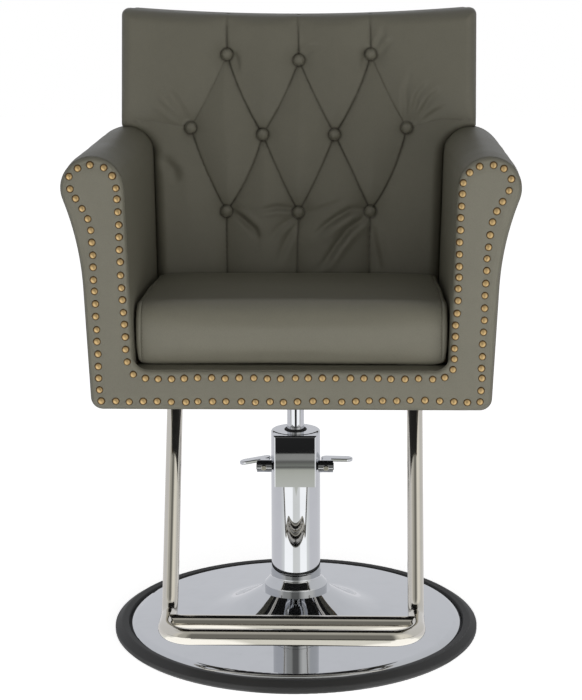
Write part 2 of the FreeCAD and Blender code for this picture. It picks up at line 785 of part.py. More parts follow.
def foot_bolt_places():
    return [side * leg_x + offset for side in (-1, 1) for offset in (-foot_bolt_offset, foot_bolt_offset)]


def footrest_plates():
    plates = []
    for x in (-leg_x, leg_x):
        plate = box(x - foot_plate_half, x + foot_plate_half, mount_bolt_y - foot_plate_half,
                    mount_bolt_y + foot_plate_half, body_bottom - foot_plate_thick, body_bottom)
        tube = Part.makeCylinder(tube_radius, 300, Vec(x, -100, tube_z), Vec(0, 1, 0))
        holes = [rod(mount_bolt_radius, body_bottom - 5, body_bottom + 1, x + offset, mount_bolt_y)
                 for offset in (-foot_bolt_offset, foot_bolt_offset)]
        plates.append(plate.cut([tube] + holes))
    return Part.Compound(plates)


def footrest_bolts():
    under = body_bottom - foot_plate_thick
    return Part.Compound([hex_bolt(x, mount_bolt_y, under, deck_z) for x in foot_bolt_places()])


def build():
    right_arm = arm()
    right_board = arm_board()
    return {
        "base_plate": base_plate(),
        "base_trim_ring": trim_ring(),
        "pump_flange": pump_flange(),
        "pump_flange_bolts": flange_bolts(),
        "pump_barrel": pump_barrel(),
        "pump_cover": pump_cover(),
        "pump_cover_band": cover_band(),
        "pump_head": pump_head(),
        "pump_cowl": pump_cowl(),
        "ram_wiper_seal": ram_wiper(),
        "plunger_tube": plunger_tube(),
        "plunger_spring": plunger_spring(),
        "pump_plunger": plunger(),
        "rocker_shaft": rocker_shaft(),
        "rocker_finger": rocker_finger(),
        "pedal_left": mirrored(pedal(droop_left)),
        "pedal_right": pedal(droop_right),
        "pedal_set_screws": pedal_screws(),
        "ram": ram(),
        "ram_piston": ram_piston(),
        "piston_seal": piston_seal(),
        "thrust_washer": thrust_washer(),
        "hub_bush": hub_bush(),
        "seat_hub": seat_hub(),
        "seat_mount_plate": seat_mount_plate(),
        "seat_mount_bolts": seat_mount_bolts(),
        "cross_rails": cross_rails(),
        "front_rail_board": front_rail_board(),
        "back_rail_board": back_rail_board(),
        "arm_board_left": mirrored(right_board),
        "arm_board_right": right_board,
        "seat_deck": seat_deck(),
        "dust_cover": dust_cover(),
        "front_face_panel": front_panel(),
        "arm_left": mirrored(right_arm),
        "arm_right": right_arm,
        "seat_cushion": seat_cushion(),
        "back_pad": back_pad(),
        "back_buttons": back_buttons(),
        "back_board": back_board(),
        "back_shell": back_shell(),
        "footrest_frame": footrest_frame(),
        "footrest_rear_bar": footrest_rear_bar(),
        "footrest_plates": footrest_plates(),
        "footrest_bolts": footrest_bolts(),
    }


os.makedirs("parts", exist_ok=True)
for node, shape in build().items():
    shape.exportStep("parts/" + node + ".step")
    print(node, len(shape.Solids), shape.isValid(), round(shape.Volume / 1000, 1))
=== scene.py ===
import math

import bmesh
import bpy
import numpy as np
from mathutils import Matrix, Vector, geometry
from mathutils.bvhtree import BVHTree
from mathutils.kdtree import KDTree


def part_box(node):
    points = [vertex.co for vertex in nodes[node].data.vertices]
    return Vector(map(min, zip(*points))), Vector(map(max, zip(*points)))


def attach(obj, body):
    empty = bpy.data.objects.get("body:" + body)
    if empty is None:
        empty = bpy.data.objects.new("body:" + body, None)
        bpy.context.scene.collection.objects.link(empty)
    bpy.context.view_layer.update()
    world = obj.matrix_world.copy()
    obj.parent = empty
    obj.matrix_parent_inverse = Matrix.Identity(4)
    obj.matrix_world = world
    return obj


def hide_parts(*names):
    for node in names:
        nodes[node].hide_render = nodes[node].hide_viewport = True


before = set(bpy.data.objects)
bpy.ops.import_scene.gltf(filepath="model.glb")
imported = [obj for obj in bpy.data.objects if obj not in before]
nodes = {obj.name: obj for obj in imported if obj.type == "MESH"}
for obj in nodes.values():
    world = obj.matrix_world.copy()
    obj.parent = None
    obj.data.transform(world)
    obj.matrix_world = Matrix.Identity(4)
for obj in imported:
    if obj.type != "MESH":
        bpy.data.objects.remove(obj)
scene = bpy.context.scene
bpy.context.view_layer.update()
print("frame loaded")


# ---- meshes ----
def linked(name, data):
    obj = bpy.data.objects.new(name, data)
    scene.collection.objects.link(obj)
    return obj


def carry(name, mesh, body):
    """The mesh as a piece that rides a body."""
    piece = linked(name, mesh)
    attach(piece, body)
    return piece


def solidMesh(name, verts, faces, merge=0.0):
    """A mesh with its faces turned outwards; points closer than merge are joined."""
    mesh = bpy.data.meshes.new(name)
    mesh.from_pydata([tuple(map(float, v)) for v in verts], [], [tuple(map(int, f)) for f in faces])
    mesh.validate()
    bm = bmesh.new()
    bm.from_mesh(mesh)
    if merge:
        bmesh.ops.remove_doubles(bm, verts=bm.verts, dist=merge)
    bmesh.ops.recalc_face_normals(bm, faces=bm.faces)
    bm.to_mesh(mesh)
    bm.free()
    return mesh


def makePiece(name, verts, faces, material, body, merge=0.0):
    mesh = solidMesh(name, verts, faces, merge)
    mesh.shade_smooth()
    mesh.materials.append(material)
    return carry(name, mesh, body)


def band(a, b, closed=True):
    """Faces between two rows of point numbers."""
    n = len(a)
    return [(a[i], a[(i + 1) % n], b[(i + 1) % n], b[i]) for i in range(n if closed else n - 1)]


def walls(rows, closed=True):
    return [f for a, b in zip(rows, rows[1:]) for f in band(a, b, closed)]


def fan(row, hub):
    """Triangles from a closed row of points to one in its middle."""
    return [(row[i], row[(i + 1) % len(row)], hub) for i in range(len(row))]


def rowsOf(count, length):
    """Point numbers of a mesh made row by row."""
    return [range(k * length, (k + 1) * length) for k in range(count)]


def addRing(verts, loop, shift, depth):
    """Adds a loop in XZ, moved inwards by shift, at a depth along Y, and returns its point numbers."""
    moved = loop + loopNormals(loop) * np.reshape(shift, (-1, 1))
    start = len(verts)
    verts += [(x, y, z) for (x, z), y in zip(moved, np.broadcast_to(depth, len(loop)))]
    return range(start, len(verts))


def addCap(verts, faces, loop, spacing, depth):
    """Adds a sheet inside a loop at depth(x, z) and returns its rim's point numbers."""
    flat, capFaces, rim, _ = fillOutline(loop, spacing)
    start = len(verts)
    verts += [(x, depth(x, z), z) for x, z in flat]
    faces += [tuple(start + i for i in f) for f in capFaces]
    return [start + i for i in rim]


def bakedMesh(obj):
    depsgraph = bpy.context.evaluated_depsgraph_get()
    return bpy.data.meshes.new_from_object(obj.evaluated_get(depsgraph), depsgraph=depsgraph)


def coords(mesh):
    out = np.zeros(len(mesh.vertices) * 3, np.float32)
    mesh.vertices.foreach_get("co", out)
    return out.reshape(-1, 3).astype(float)


def setCoords(mesh, co):
    mesh.vertices.foreach_set("co", np.asarray(co, np.float32).ravel())
    mesh.update()


def roundedPath(corners, step=0.002, closed=True):
    """Points along a polygon of (x, z, radius) corners with arcs at them."""
    pts = []
    count = len(corners)
    for i, (x, z, r) in enumerate(corners):
        here = np.array((x, z))
        if r <= 0 or (not closed and i in (0, count - 1)):
            pts.append(here)
            continue
        a = np.array(corners[i - 1][:2]) - here
        b = np.array(corners[(i + 1) % count][:2]) - here
        a, b = a / np.linalg.norm(a), b / np.linalg.norm(b)
        half = math.acos(max(-1, min(1, float(a @ b)))) / 2
        centre = here + (a + b) / np.linalg.norm(a + b) * r / math.sin(half)
        start, end = here + a * r / math.tan(half), here + b * r / math.tan(half)
        first = math.atan2(*(start - centre)[::-1])
        turn = (math.atan2(*(end - centre)[::-1]) - first + math.pi) % (2 * math.pi) - math.pi
        angles = first + turn * np.linspace(0, 1, max(2, int(abs(turn) * r / step)) + 1)
        pts += [centre + r * np.array((math.cos(t), math.sin(t))) for t in angles]
    return resample(np.array(pts), step, closed)


def resample(pts, step, closed=True):
    """The same line with evenly spaced points."""
    line = np.vstack([pts, pts[:1]]) if closed else pts
    along = np.concatenate([[0], np.cumsum(np.linalg.norm(np.diff(line, axis=0), axis=1))])
    n = max(3, int(round(along[-1] / step)))
    want = np.linspace(0, along[-1], n + 1)[:n if closed else n + 1]
    return np.stack([np.interp(want, along, line[:, k]) for k in range(line.shape[1])], 1)


def loopNormals(loop):
    """Unit normals that point into a closed loop, whichever way it runs."""
    t = np.roll(loop, -1, 0) - np.roll(loop, 1, 0)
    t /= np.linalg.norm(t, axis=1)[:, None]
    n = np.stack([-t[:, 1], t[:, 0]], 1)
    area = 0.5 * np.sum(loop[:, 0] * np.roll(loop[:, 1], -1) - np.roll(loop[:, 0], -1) * loop[:, 1])
    return n if area > 0 else -n


def lineNormals(line):
    """Unit normals on the right of an open line."""
    t = np.gradient(line, axis=0)
    t /= np.linalg.norm(t, axis=1)[:, None]
    return np.stack([t[:, 1], -t[:, 0]], 1)


def distanceTo(points, line):
    """Distance from each point to the nearest of a line's points."""
    tree = KDTree(len(line))
    for i, p in enumerate(line):
        tree.insert((p[0], p[1], 0), i)
    tree.balance()
    return np.array([tree.find((p[0], p[1], 0))[2] for p in points])


def lineField(points, line):
    """Distance to a polyline, its share along the line there, and which side the point is on."""
    best = np.full(len(points), 9.0)
    share, side = np.zeros(len(points)), np.zeros(len(points))
    lengths = np.linalg.norm(np.diff(line, axis=0), axis=1)
    along = np.concatenate([[0], np.cumsum(lengths)])
    for k in range(len(line) - 1):
        a, d = line[k], line[k + 1] - line[k]
        t = np.clip(((points - a) @ d) / (d @ d), 0, 1)
        off = points - (a + t[:, None] * d)
        dist = np.linalg.norm(off, axis=1)
        near = dist < best
        best[near] = dist[near]
        share[near] = ((along[k] + t * lengths[k]) / along[-1])[near]
        side[near] = np.sign(d[0] * off[:, 1] - d[1] * off[:, 0])[near]
    return best, share, side


def insideLoop(points, loop):
    x, z = points[:, 0][:, None], points[:, 1][:, None]
    ax, az = loop[:, 0][None], loop[:, 1][None]
    bx, bz = np.roll(loop[:, 0], -1)[None], np.roll(loop[:, 1], -1)[None]
    crosses = ((az > z) != (bz > z)) & (x < (bx - ax) * (z - az) / (bz - az + 1e-12) + ax)
    return crosses.sum(1) % 2 == 1


def fillOutline(loop, spacing, rings=(), extra=()):
    """A sheet of triangles in a closed loop, with extra points where the shape is fine.

    Gives its points and faces, the loop's own point numbers, and each point's distance to the edge.
    """
    inward = loopNormals(loop)
    low, high = loop.min(0), loop.max(0)
    rows = np.arange(low[1], high[1], spacing * 0.866)
    grid = np.array([(x + (spacing / 2 if k % 2 else 0), z) for k, z in enumerate(rows)
                     for x in np.arange(low[0], high[0], spacing)])
    grid = grid[insideLoop(grid, loop)]
    grid = grid[distanceTo(grid, loop) > (max(rings) if len(rings) else 0) + spacing * 0.6]
    if len(extra):
        grid = grid[distanceTo(grid, extra) > spacing * 0.55]
    parts = [loop]
    for d in rings:
        ring = loop + inward * d
        parts.append(ring[distanceTo(ring, loop) > 0.97 * d])
    if len(extra):
        free = distanceTo(extra, loop) > max(list(rings) + [spacing]) + 0.001
        parts.append(extra[free & insideLoop(extra, loop)])
    points = np.vstack(parts + [grid])
    n = len(loop)
    edges = [(i, (i + 1) % n) for i in range(n)]
    out = geometry.delaunay_2d_cdt([Vector(p) for p in points], edges, [], 1, 1e-7)
    flat = np.array([tuple(v) for v in out[0]])
    number = {o: i for i, origs in enumerate(out[3]) for o in origs}
    return flat, [tuple(f) for f in out[2]], [number[i] for i in range(n)], distanceTo(flat, loop)


def roundOver(dist, radius):
    """How far an edge of that radius falls back at each distance from the outline."""
    d = np.clip(radius - dist, 0, radius)
    return radius - np.sqrt(np.maximum(radius ** 2 - d ** 2, 0))


def ripple(x, y, z, seed, size):
    """A smooth made-up unevenness from a few fixed waves, from -1 to 1."""
    rng = np.random.default_rng(seed)
    total = np.zeros_like(x)
    for _ in range(6):
        k = rng.normal(size=3)
        k = k / np.linalg.norm(k) * 2 * math.pi / (size * rng.uniform(0.7, 1.6))
        total += np.sin(k[0] * x + k[1] * y + k[2] * z + rng.uniform(0, 6.28))
    return total / 6


# ---- shader helpers ----
def newMaterial(name):
    material = bpy.data.materials.new(name)
    material.use_nodes = True
    tree = material.node_tree
    return material, tree, tree.nodes["Principled BSDF"]


def feed(tree, made, sockets):
    """Links or sets a node's inputs."""
    for target, source in sockets.items():
        if isinstance(source, bpy.types.NodeSocket):
            tree.links.new(source, made.inputs[target])
        else:
            made.inputs[target].default_value = source


def node(tree, kind, sockets=None, **values):
    made = tree.nodes.new(kind)
    for key, value in values.items():
        setattr(made, key, value)
    feed(tree, made, sockets or {})
    return made


def mathNode(tree, operation, a, b=0.0, clamp=False):
    return node(tree, "ShaderNodeMath", {0: a, 1: b}, operation=operation, use_clamp=clamp).outputs[0]


def scaled(tree, value, factor, plus=0.0, clamp=False):
    return node(tree, "ShaderNodeMath", {0: value, 1: factor, 2: plus}, operation="MULTIPLY_ADD",
                use_clamp=clamp).outputs[0]


def blendColour(tree, factor, a, b, mode="MIX"):
    """Mixes two colours; a plain colour is given as three numbers."""
    a, b = ((*c, 1) if isinstance(c, tuple) else c for c in (a, b))
    return node(tree, "ShaderNodeMix", {0: factor, 6: a, 7: b}, data_type="RGBA", blend_type=mode).outputs[2]


def ramp(tree, source, stops, smooth=False):
    made = node(tree, "ShaderNodeValToRGB", {0: source})
    made.color_ramp.interpolation = "EASE" if smooth else "LINEAR"
    elements = made.color_ramp.elements
    while len(elements) < len(stops):
        elements.new(0.5)
    for element, (place, colour) in zip(elements, stops):
        element.position = place
        element.color = (*colour, 1) if len(colour) == 3 else (colour[0],) * 3 + (1,)
    return made.outputs[0]


def bump(tree, bsdf, height, strength, distance, under=None):
    made = node(tree, "ShaderNodeBump", {"Height": height, "Strength": strength, "Distance": distance})
    if under is not None:
        feed(tree, made, {"Normal": under})
    feed(tree, bsdf, {"Normal": made.outputs[0]})


def place(tree):
    return node(tree, "ShaderNodeTexCoord").outputs["Object"]


def noise(tree, where, scale, detail=3.0, rough=0.6):
    return node(tree, "ShaderNodeTexNoise", {"Vector": where, "Scale": scale, "Detail": detail,
                                             "Roughness": rough}).outputs["Fac"]


def marked(tree, name):
    """A value that the mesh carries at its points."""
    return node(tree, "ShaderNodeAttribute", attribute_name=name).outputs["Fac"]


# ---- materials ----
leatherLook = {"colour": (0.190, 0.181, 0.139), "dark": (0.030, 0.026, 0.018), "rough": 0.41, "shine": 0.42,
               "grain": 760.0, "grainDepth": 0.00022, "pores": 2100.0, "warp": 140.0, "warpBy": 0.004,
               "mottle": 9.0, "fine": 60.0, "swell": 34.0, "swellDepth": 0.0012}


def leatherMaterial():
    """Fine pebbled hide: cells, pores, faint mottling, and painted shade in the back's pleats, round its buttons and
    at its top notches.
    """
    look = leatherLook
    material, tree, bsdf = newMaterial("leather")
    where = place(tree)
    warp = node(tree, "ShaderNodeTexNoise", {"Vector": where, "Scale": look["warp"], "Detail": 2.0}).outputs["Color"]
    bent = node(tree, "ShaderNodeVectorMath", {0: warp, 1: (look["warpBy"],) * 3, 2: where},
                operation="MULTIPLY_ADD").outputs[0]
    cells = node(tree, "ShaderNodeTexVoronoi", {"Vector": bent, "Scale": look["grain"]},
                 feature="DISTANCE_TO_EDGE").outputs["Distance"]
    pebble = ramp(tree, cells, [(0.0, (0.0,)), (0.16, (0.75,)), (0.5, (1.0,))])
    mottle = noise(tree, where, look["mottle"], 4.0)
    shade = scaled(tree, mottle, 0.16, scaled(tree, noise(tree, where, look["fine"]), 0.08, 0.88))
    base = blendColour(tree, 1.0, look["colour"],
                       node(tree, "ShaderNodeCombineColor", {0: shade, 1: shade, 2: shade}).outputs[0], "MULTIPLY")
    base = blendColour(tree, scaled(tree, pebble, -0.18, 0.18), base, look["dark"])
    # painted shade: the back pad's fold mark darkens the leather in its pleats, round its buttons and at its top
    # notches
    base = blendColour(tree, marked(tree, "painted_fold_shade"), base, look["dark"])
    feed(tree, bsdf, {"Base Color": base, "Roughness": scaled(tree, mottle, 0.12, look["rough"]),
                      "Specular IOR Level": look["shine"]})
    swell = node(tree, "ShaderNodeBump", {"Height": noise(tree, where, look["swell"], 2.0, 0.5), "Strength": 0.25,
                                          "Distance": look["swellDepth"]}).outputs[0]
    height = scaled(tree, pebble, 0.7, scaled(tree, noise(tree, where, look["pores"], 2.0), 0.35))
    bump(tree, bsdf, height, 0.55, look["grainDepth"], swell)
    return material


def metalMaterial(name, colour, rough, smudge, scratch=0.0):
    """Plated metal with faint handling marks and very fine rubbing lines."""
    material, tree, bsdf = newMaterial(name)
    where = place(tree)
    marks = ramp(tree, noise(tree, where, 22.0, 4.0, 0.62), [(0.42, (0.0,)), (0.75, (1.0,))], True)
    dust = ramp(tree, noise(tree, where, 900.0, 2.0, 0.5), [(0.6, (0.0,)), (0.8, (1.0,))])
    tone = blendColour(tree, scaled(tree, marks, 0.35), colour, tuple(c * 0.9 for c in colour))
    feed(tree, bsdf, {"Metallic": 1.0, "Base Color": tone,
                      "Roughness": scaled(tree, dust, smudge, scaled(tree, marks, smudge, rough))})
    if scratch:
        stretch = node(tree, "ShaderNodeMapping", {"Vector": where, "Scale": (1.0, 1.0, 40.0)}).outputs[0]
        bump(tree, bsdf, noise(tree, stretch, 60.0), scratch, 0.00003)
    return material


def brassMaterial():
    """Antiqued brass heads: bright crowns with random worn spots, and a dark brown rim of painted shade where the head
    meets the leather.
    """
    # rim is the colour of the painted shade round each head's foot
    crown, rim = (0.58, 0.40, 0.185), (0.085, 0.048, 0.018)
    material, tree, bsdf = newMaterial("antiqued brass")
    spots = noise(tree, place(tree), 420.0)
    # random worn spots plus the painted shade at each head's rim, read from the rim mark
    wear_and_rim_shade = scaled(tree, spots, 0.5, mathNode(tree, "SUBTRACT", marked(tree, "rim"), 0.25), True)
    feed(tree, bsdf, {"Metallic": 0.72, "Base Color": blendColour(tree, wear_and_rim_shade, crown, rim),
                      "Roughness": scaled(tree, wear_and_rim_shade, 0.22, 0.32)})
    bump(tree, bsdf, spots, 0.3, 0.0002)
    return material


def plainMaterial(name, colour, rough, grain, depth, variation=0.12, metallic=0.0):
    """Rubber, thread, painted iron: an even colour with grain and small changes of tone."""
    material, tree, bsdf = newMaterial(name)
    where = place(tree)
    fine = noise(tree, where, grain, 4.0)
    darker, lighter = (tuple(c * (1 + change) for c in colour) for change in (-variation, variation))
    feed(tree, bsdf, {"Base Color": blendColour(tree, noise(tree, where, 14.0, 3.0, 0.5), darker, lighter),
                      "Roughness": scaled(tree, fine, 0.14, rough - 0.07), "Metallic": metallic})
    bump(tree, bsdf, fine, 0.4, depth)
    return material


def clothMaterial():
    """The dark woven dust cloth under the seat."""
    material, tree, bsdf = newMaterial("dust cloth")
    waves = [node(tree, "ShaderNodeTexWave", {"Vector": place(tree), "Scale": 380.0, "Distortion": 0.6},
                  bands_direction=way).outputs["Fac"] for way in ("X", "Y")]
    weave = mathNode(tree, "MULTIPLY", *waves)
    feed(tree, bsdf, {"Base Color": blendColour(tree, weave, (0.006, 0.006, 0.006), (0.022, 0.021, 0.020)),
                      "Roughness": 0.9})
    bump(tree, bsdf, weave, 0.6, 0.0003)
    return material


def woodMaterial():
    """Plywood and softwood frame boards."""
    material, tree, bsdf = newMaterial("frame board")
    stretch = node(tree, "ShaderNodeMapping", {"Vector": place(tree), "Scale": (3.0, 60.0, 60.0)}).outputs[0]
    grain = noise(tree, stretch, 3.0, 6.0, 0.65)
    tone = ramp(tree, grain, [(0.3, (0.30, 0.19, 0.10)), (0.7, (0.52, 0.37, 0.22))])
    feed(tree, bsdf, {"Base Color": tone, "Roughness": 0.7})
    bump(tree, bsdf, grain, 0.4, 0.0004)
    return material


leather = leatherMaterial()
chrome = metalMaterial("chrome", (0.60, 0.61, 0.63), 0.012, 0.012)
nickel = metalMaterial("nickel plate", (0.66, 0.63, 0.57), 0.06, 0.05, 0.2)
steel = metalMaterial("ground steel", (0.52, 0.52, 0.53), 0.16, 0.08, 0.4)
brass = brassMaterial()
rubber = plainMaterial("rubber", (0.022, 0.022, 0.022), 0.58, 650.0, 0.0003)
darkSteel = plainMaterial("blackened steel", (0.030, 0.030, 0.031), 0.38, 300.0, 0.0002, 0.2, 0.8)
cloth = clothMaterial()
wood = woodMaterial()
thread = plainMaterial("thread", (0.24, 0.225, 0.185), 0.8, 1500.0, 0.0002)
print("materials made")

carried = {
    chrome: ["base_plate", "pump_flange", "pump_cover", "pump_cover_band", "pump_cowl", "pump_head", "ram",
             "pedal_left", "pedal_right"],
    nickel: ["footrest_frame", "footrest_rear_bar", "pedal_set_screws"],
    steel: ["pump_flange_bolts", "pump_barrel", "plunger_tube", "plunger_spring", "pump_plunger", "rocker_finger",
            "ram_piston", "thrust_washer", "seat_mount_bolts", "footrest_bolts"],
    darkSteel: ["rocker_shaft", "seat_mount_plate", "footrest_plates", "seat_hub"],
    brass: ["hub_bush"],
    rubber: ["base_trim_ring", "ram_wiper_seal", "piston_seal"],
    wood: ["cross_rails", "front_rail_board", "back_rail_board", "arm_board_left", "arm_board_right", "seat_deck",
           "back_board"],
    cloth: ["dust_cover"],
    leather: ["front_face_panel", "arm_left", "arm_right", "seat_cushion", "back_pad", "back_buttons", "back_shell"],
}
for material, names in carried.items():
    for name in names:
        nodes[name].data.materials.clear()
        nodes[name].data.materials.append(material)
print("carried-over pieces dressed")


# ---- body sizes that the soft pieces share ----
body = {"bottom": 0.440, "faceY": -0.270, "panelBack": -0.258, "railTop": 0.500, "openingRound": 0.024,
        "bottomHalf": 0.2995, "bottomRound": 0.018, "flareHalf": 0.3105, "flareZ": 0.691, "flareRound": 0.430,
        "scrollX": 0.2908, "scrollZ": 0.773, "scrollR": 0.0467, "tangent": math.radians(20), "innerLow": 0.2355}
back = {"y": 0.180, "refZ": 0.567, "lean": math.tan(math.radians(11.5)), "wrap": 0.030, "half": 0.302,
        "thick": 0.060, "board": 0.015, "shell": 0.030, "top": 1.000, "rise": 0.0135}


def backY(x, z):
    """Where the back's leaning, curved plane lies."""
    return back["y"] + (z - back["refZ"]) * back["lean"] - back["wrap"] * (x / back["half"]) ** 2


def armOutline():
    """The right arm's section from its foot, up the outside, over the roll and down the inside."""
    b = body
    centre, radius = np.array((b["scrollX"], b["scrollZ"])), b["scrollR"]
    turn = np.linspace(-b["tangent"], math.pi, 90)
    roll = centre + radius * np.stack([np.cos(turn), np.sin(turn)], 1)
    outer = roundedPath([(0.24, b["bottom"], 0), (b["bottomHalf"], b["bottom"], b["bottomRound"]),
                         (b["flareHalf"], b["flareZ"], b["flareRound"]), (*roll[0], 0)], closed=False)
    return outer, roll[1:]


def faceOutline():
    """The whole front face's closed outline: both arm fronts and the rail."""
    outer, roll = armOutline()
    side = np.vstack([outer, roll])
    opening = roundedPath([(side[-1][0], side[-1][1], 0), (body["innerLow"], body["railTop"], body["openingRound"]),
                           (0, body["railTop"], 0)], closed=False)
    right = np.vstack([[(0, body["bottom"])], side, opening[1:]])
    left = right[::-1] * np.array((-1, 1))
    return resample(np.vstack([right, left[1:-1]]), 0.003)


# ---- front face with its nailheads ----
face = {"edgeOut": 0.0098, "edgeIn": 0.0075, "puff": 0.0016, "puffWidth": 0.008, "dimple": 0.0011,
        "dimpleWidth": 0.0068, "row": 0.0008, "rowWidth": 0.005, "seam": 0.0007, "seamIn": 0.0078, "seamWidth": 0.0012,
        "uneven": 0.0005, "outerFrom": 0.262, "outerOver": 0.012, "spacing": 0.0038, "headRadius": 0.0061,
        "headHeight": 0.0038, "sunk": 0.0006,
        "rings": (0.0004, 0.0012, 0.0024, 0.0040, 0.0056, 0.0068, 0.0078, 0.0088, 0.0105),
        "sides": ((-0.2615, 0.0), (-0.2590, 0.0006), (-0.2581, 0.0022))}
# the nailheads in millimetres, one closed row
nailRow = [
    (10, 454), (33, 455), (53, 455), (76, 454), (97, 455), (117, 456), (137, 456), (158, 456), (178, 457),
    (200, 457), (222, 456), (243, 455), (263, 454), (282, 455), (283, 472), (284, 491), (283, 506), (284, 524),
    (284, 543), (285, 561), (286, 579), (286, 597), (286, 616), (287, 634), (288, 653), (288, 671), (290, 688),
    (292, 706), (295, 725), (301, 741), (309, 755), (318, 771), (321, 788), (310, 803), (295, 808), (275, 806),
    (261, 797), (252, 782), (251, 766), (250, 748), (249, 731), (249, 713), (248, 695), (248, 677), (248, 659),
    (248, 643), (247, 626), (247, 608), (246, 589), (244, 571), (244, 554), (243, 536), (243, 520), (241, 504),
    (229, 492), (211, 489), (190, 490), (170, 489), (149, 489), (130, 490), (109, 490), (89, 490), (67, 490),
    (47, 490), (26, 490), (7, 490), (-15, 489), (-35, 489), (-55, 490), (-77, 490), (-98, 489), (-118, 490),
    (-139, 490), (-159, 489), (-178, 488), (-198, 488), (-217, 489), (-235, 495), (-244, 514), (-246, 533),
    (-246, 552), (-247, 571), (-248, 589), (-249, 608), (-250, 626), (-251, 645), (-251, 665), (-252, 683),
    (-252, 702), (-252, 720), (-253, 739), (-254, 758), (-255, 774), (-260, 792), (-272, 804), (-292, 808),
    (-310, 803), (-323, 791), (-322, 773), (-314, 759), (-305, 744), (-297, 729), (-293, 712), (-292, 694),
    (-291, 675), (-291, 657), (-291, 638), (-290, 621), (-289, 602), (-289, 583), (-288, 563), (-288, 545),
    (-287, 526), (-287, 507), (-287, 489), (-286, 471), (-284, 454), (-262, 454), (-242, 453), (-221, 454),
    (-200, 454), (-179, 453), (-157, 453), (-139, 454), (-117, 454), (-97, 454), (-74, 454), (-53, 453), (-31, 454),
    (-11, 453)]
nails = np.array(nailRow) / 1000


def bell(distance, width):
    return np.exp(-(distance / width) ** 2)


def faceDepth(flat, dist):
    """How far each point of the face lies behind the front plane."""
    x, z = np.abs(flat[:, 0]), flat[:, 1]
    outward = np.where(z > body["scrollZ"], 1.0, np.clip((x - face["outerFrom"]) / face["outerOver"], 0, 1))
    depth = roundOver(dist, face["edgeIn"] + (face["edgeOut"] - face["edgeIn"]) * outward)
    depth += face["puff"] * np.exp(-dist / face["puffWidth"])
    depth += face["dimple"] * bell(distanceTo(flat, nails), face["dimpleWidth"])
    depth += face["row"] * bell(lineField(flat, np.vstack([nails, nails[:1]]))[0], face["rowWidth"])
    depth += face["seam"] * outward * bell(dist - face["seamIn"], face["seamWidth"])
    return depth + face["uneven"] * ripple(flat[:, 0], flat[:, 0] * 0, z, 3, 0.05)


def buildFace():
    loop = faceOutline()
    flat, faces, rim, dist = fillOutline(loop, face["spacing"], rings=face["rings"])
    verts = [(x, body["faceY"] + d, z) for (x, z), d in zip(flat, faceDepth(flat, dist))]
    faces += walls([rim] + [addRing(verts, loop, shrink, y) for y, shrink in face["sides"]])
    lastY, shrink = face["sides"][-1]
    addCap(verts, faces, loop + loopNormals(loop) * shrink, 0.02, lambda x, z: lastY)
    piece = makePiece("upholstered_face", verts, faces, leather, "seat", merge=0.00002)
    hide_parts("front_face_panel")
    return piece


def circle(count, radius, z):
    angles = [2 * math.pi * i / count for i in range(count)]
    return [(radius * math.cos(t), radius * math.sin(t), z) for t in angles]


def headShape(name, radius, height, rings, material, rimShadeFrom):
    """A domed head about its own origin, crown along +Z, with an attribute that marks its rim, where the brass shows
    painted shade.
    """
    count, foot, narrower, fade = 20, -0.0012, 0.92, 0.25
    verts, marks = [(0, 0, height)], [0.0]
    for k in range(1, rings + 1):
        a = k / rings * math.pi / 2
        share = math.sin(a) ** 0.9
        verts += circle(count, radius * share, height * math.cos(a))
        # the rim mark for painted shade, rising towards the foot
        marks += [min(1.0, max(0.0, (share - rimShadeFrom) / fade))] * count
    verts += circle(count, radius * narrower, foot)
    marks += [1.0] * count
    rows = [[1 + i for i in row] for row in rowsOf(rings + 1, count)]
    faces = fan(rows[0], 0) + walls(rows[::-1]) + [tuple(reversed(rows[-1]))]
    mesh = bpy.data.meshes.new(name)
    mesh.from_pydata(verts, [], faces)
    mesh.attributes.new("rim", "FLOAT", "POINT").data.foreach_set("value", marks)
    mesh.shade_smooth()
    mesh.materials.append(material)
    return linked(name, mesh)


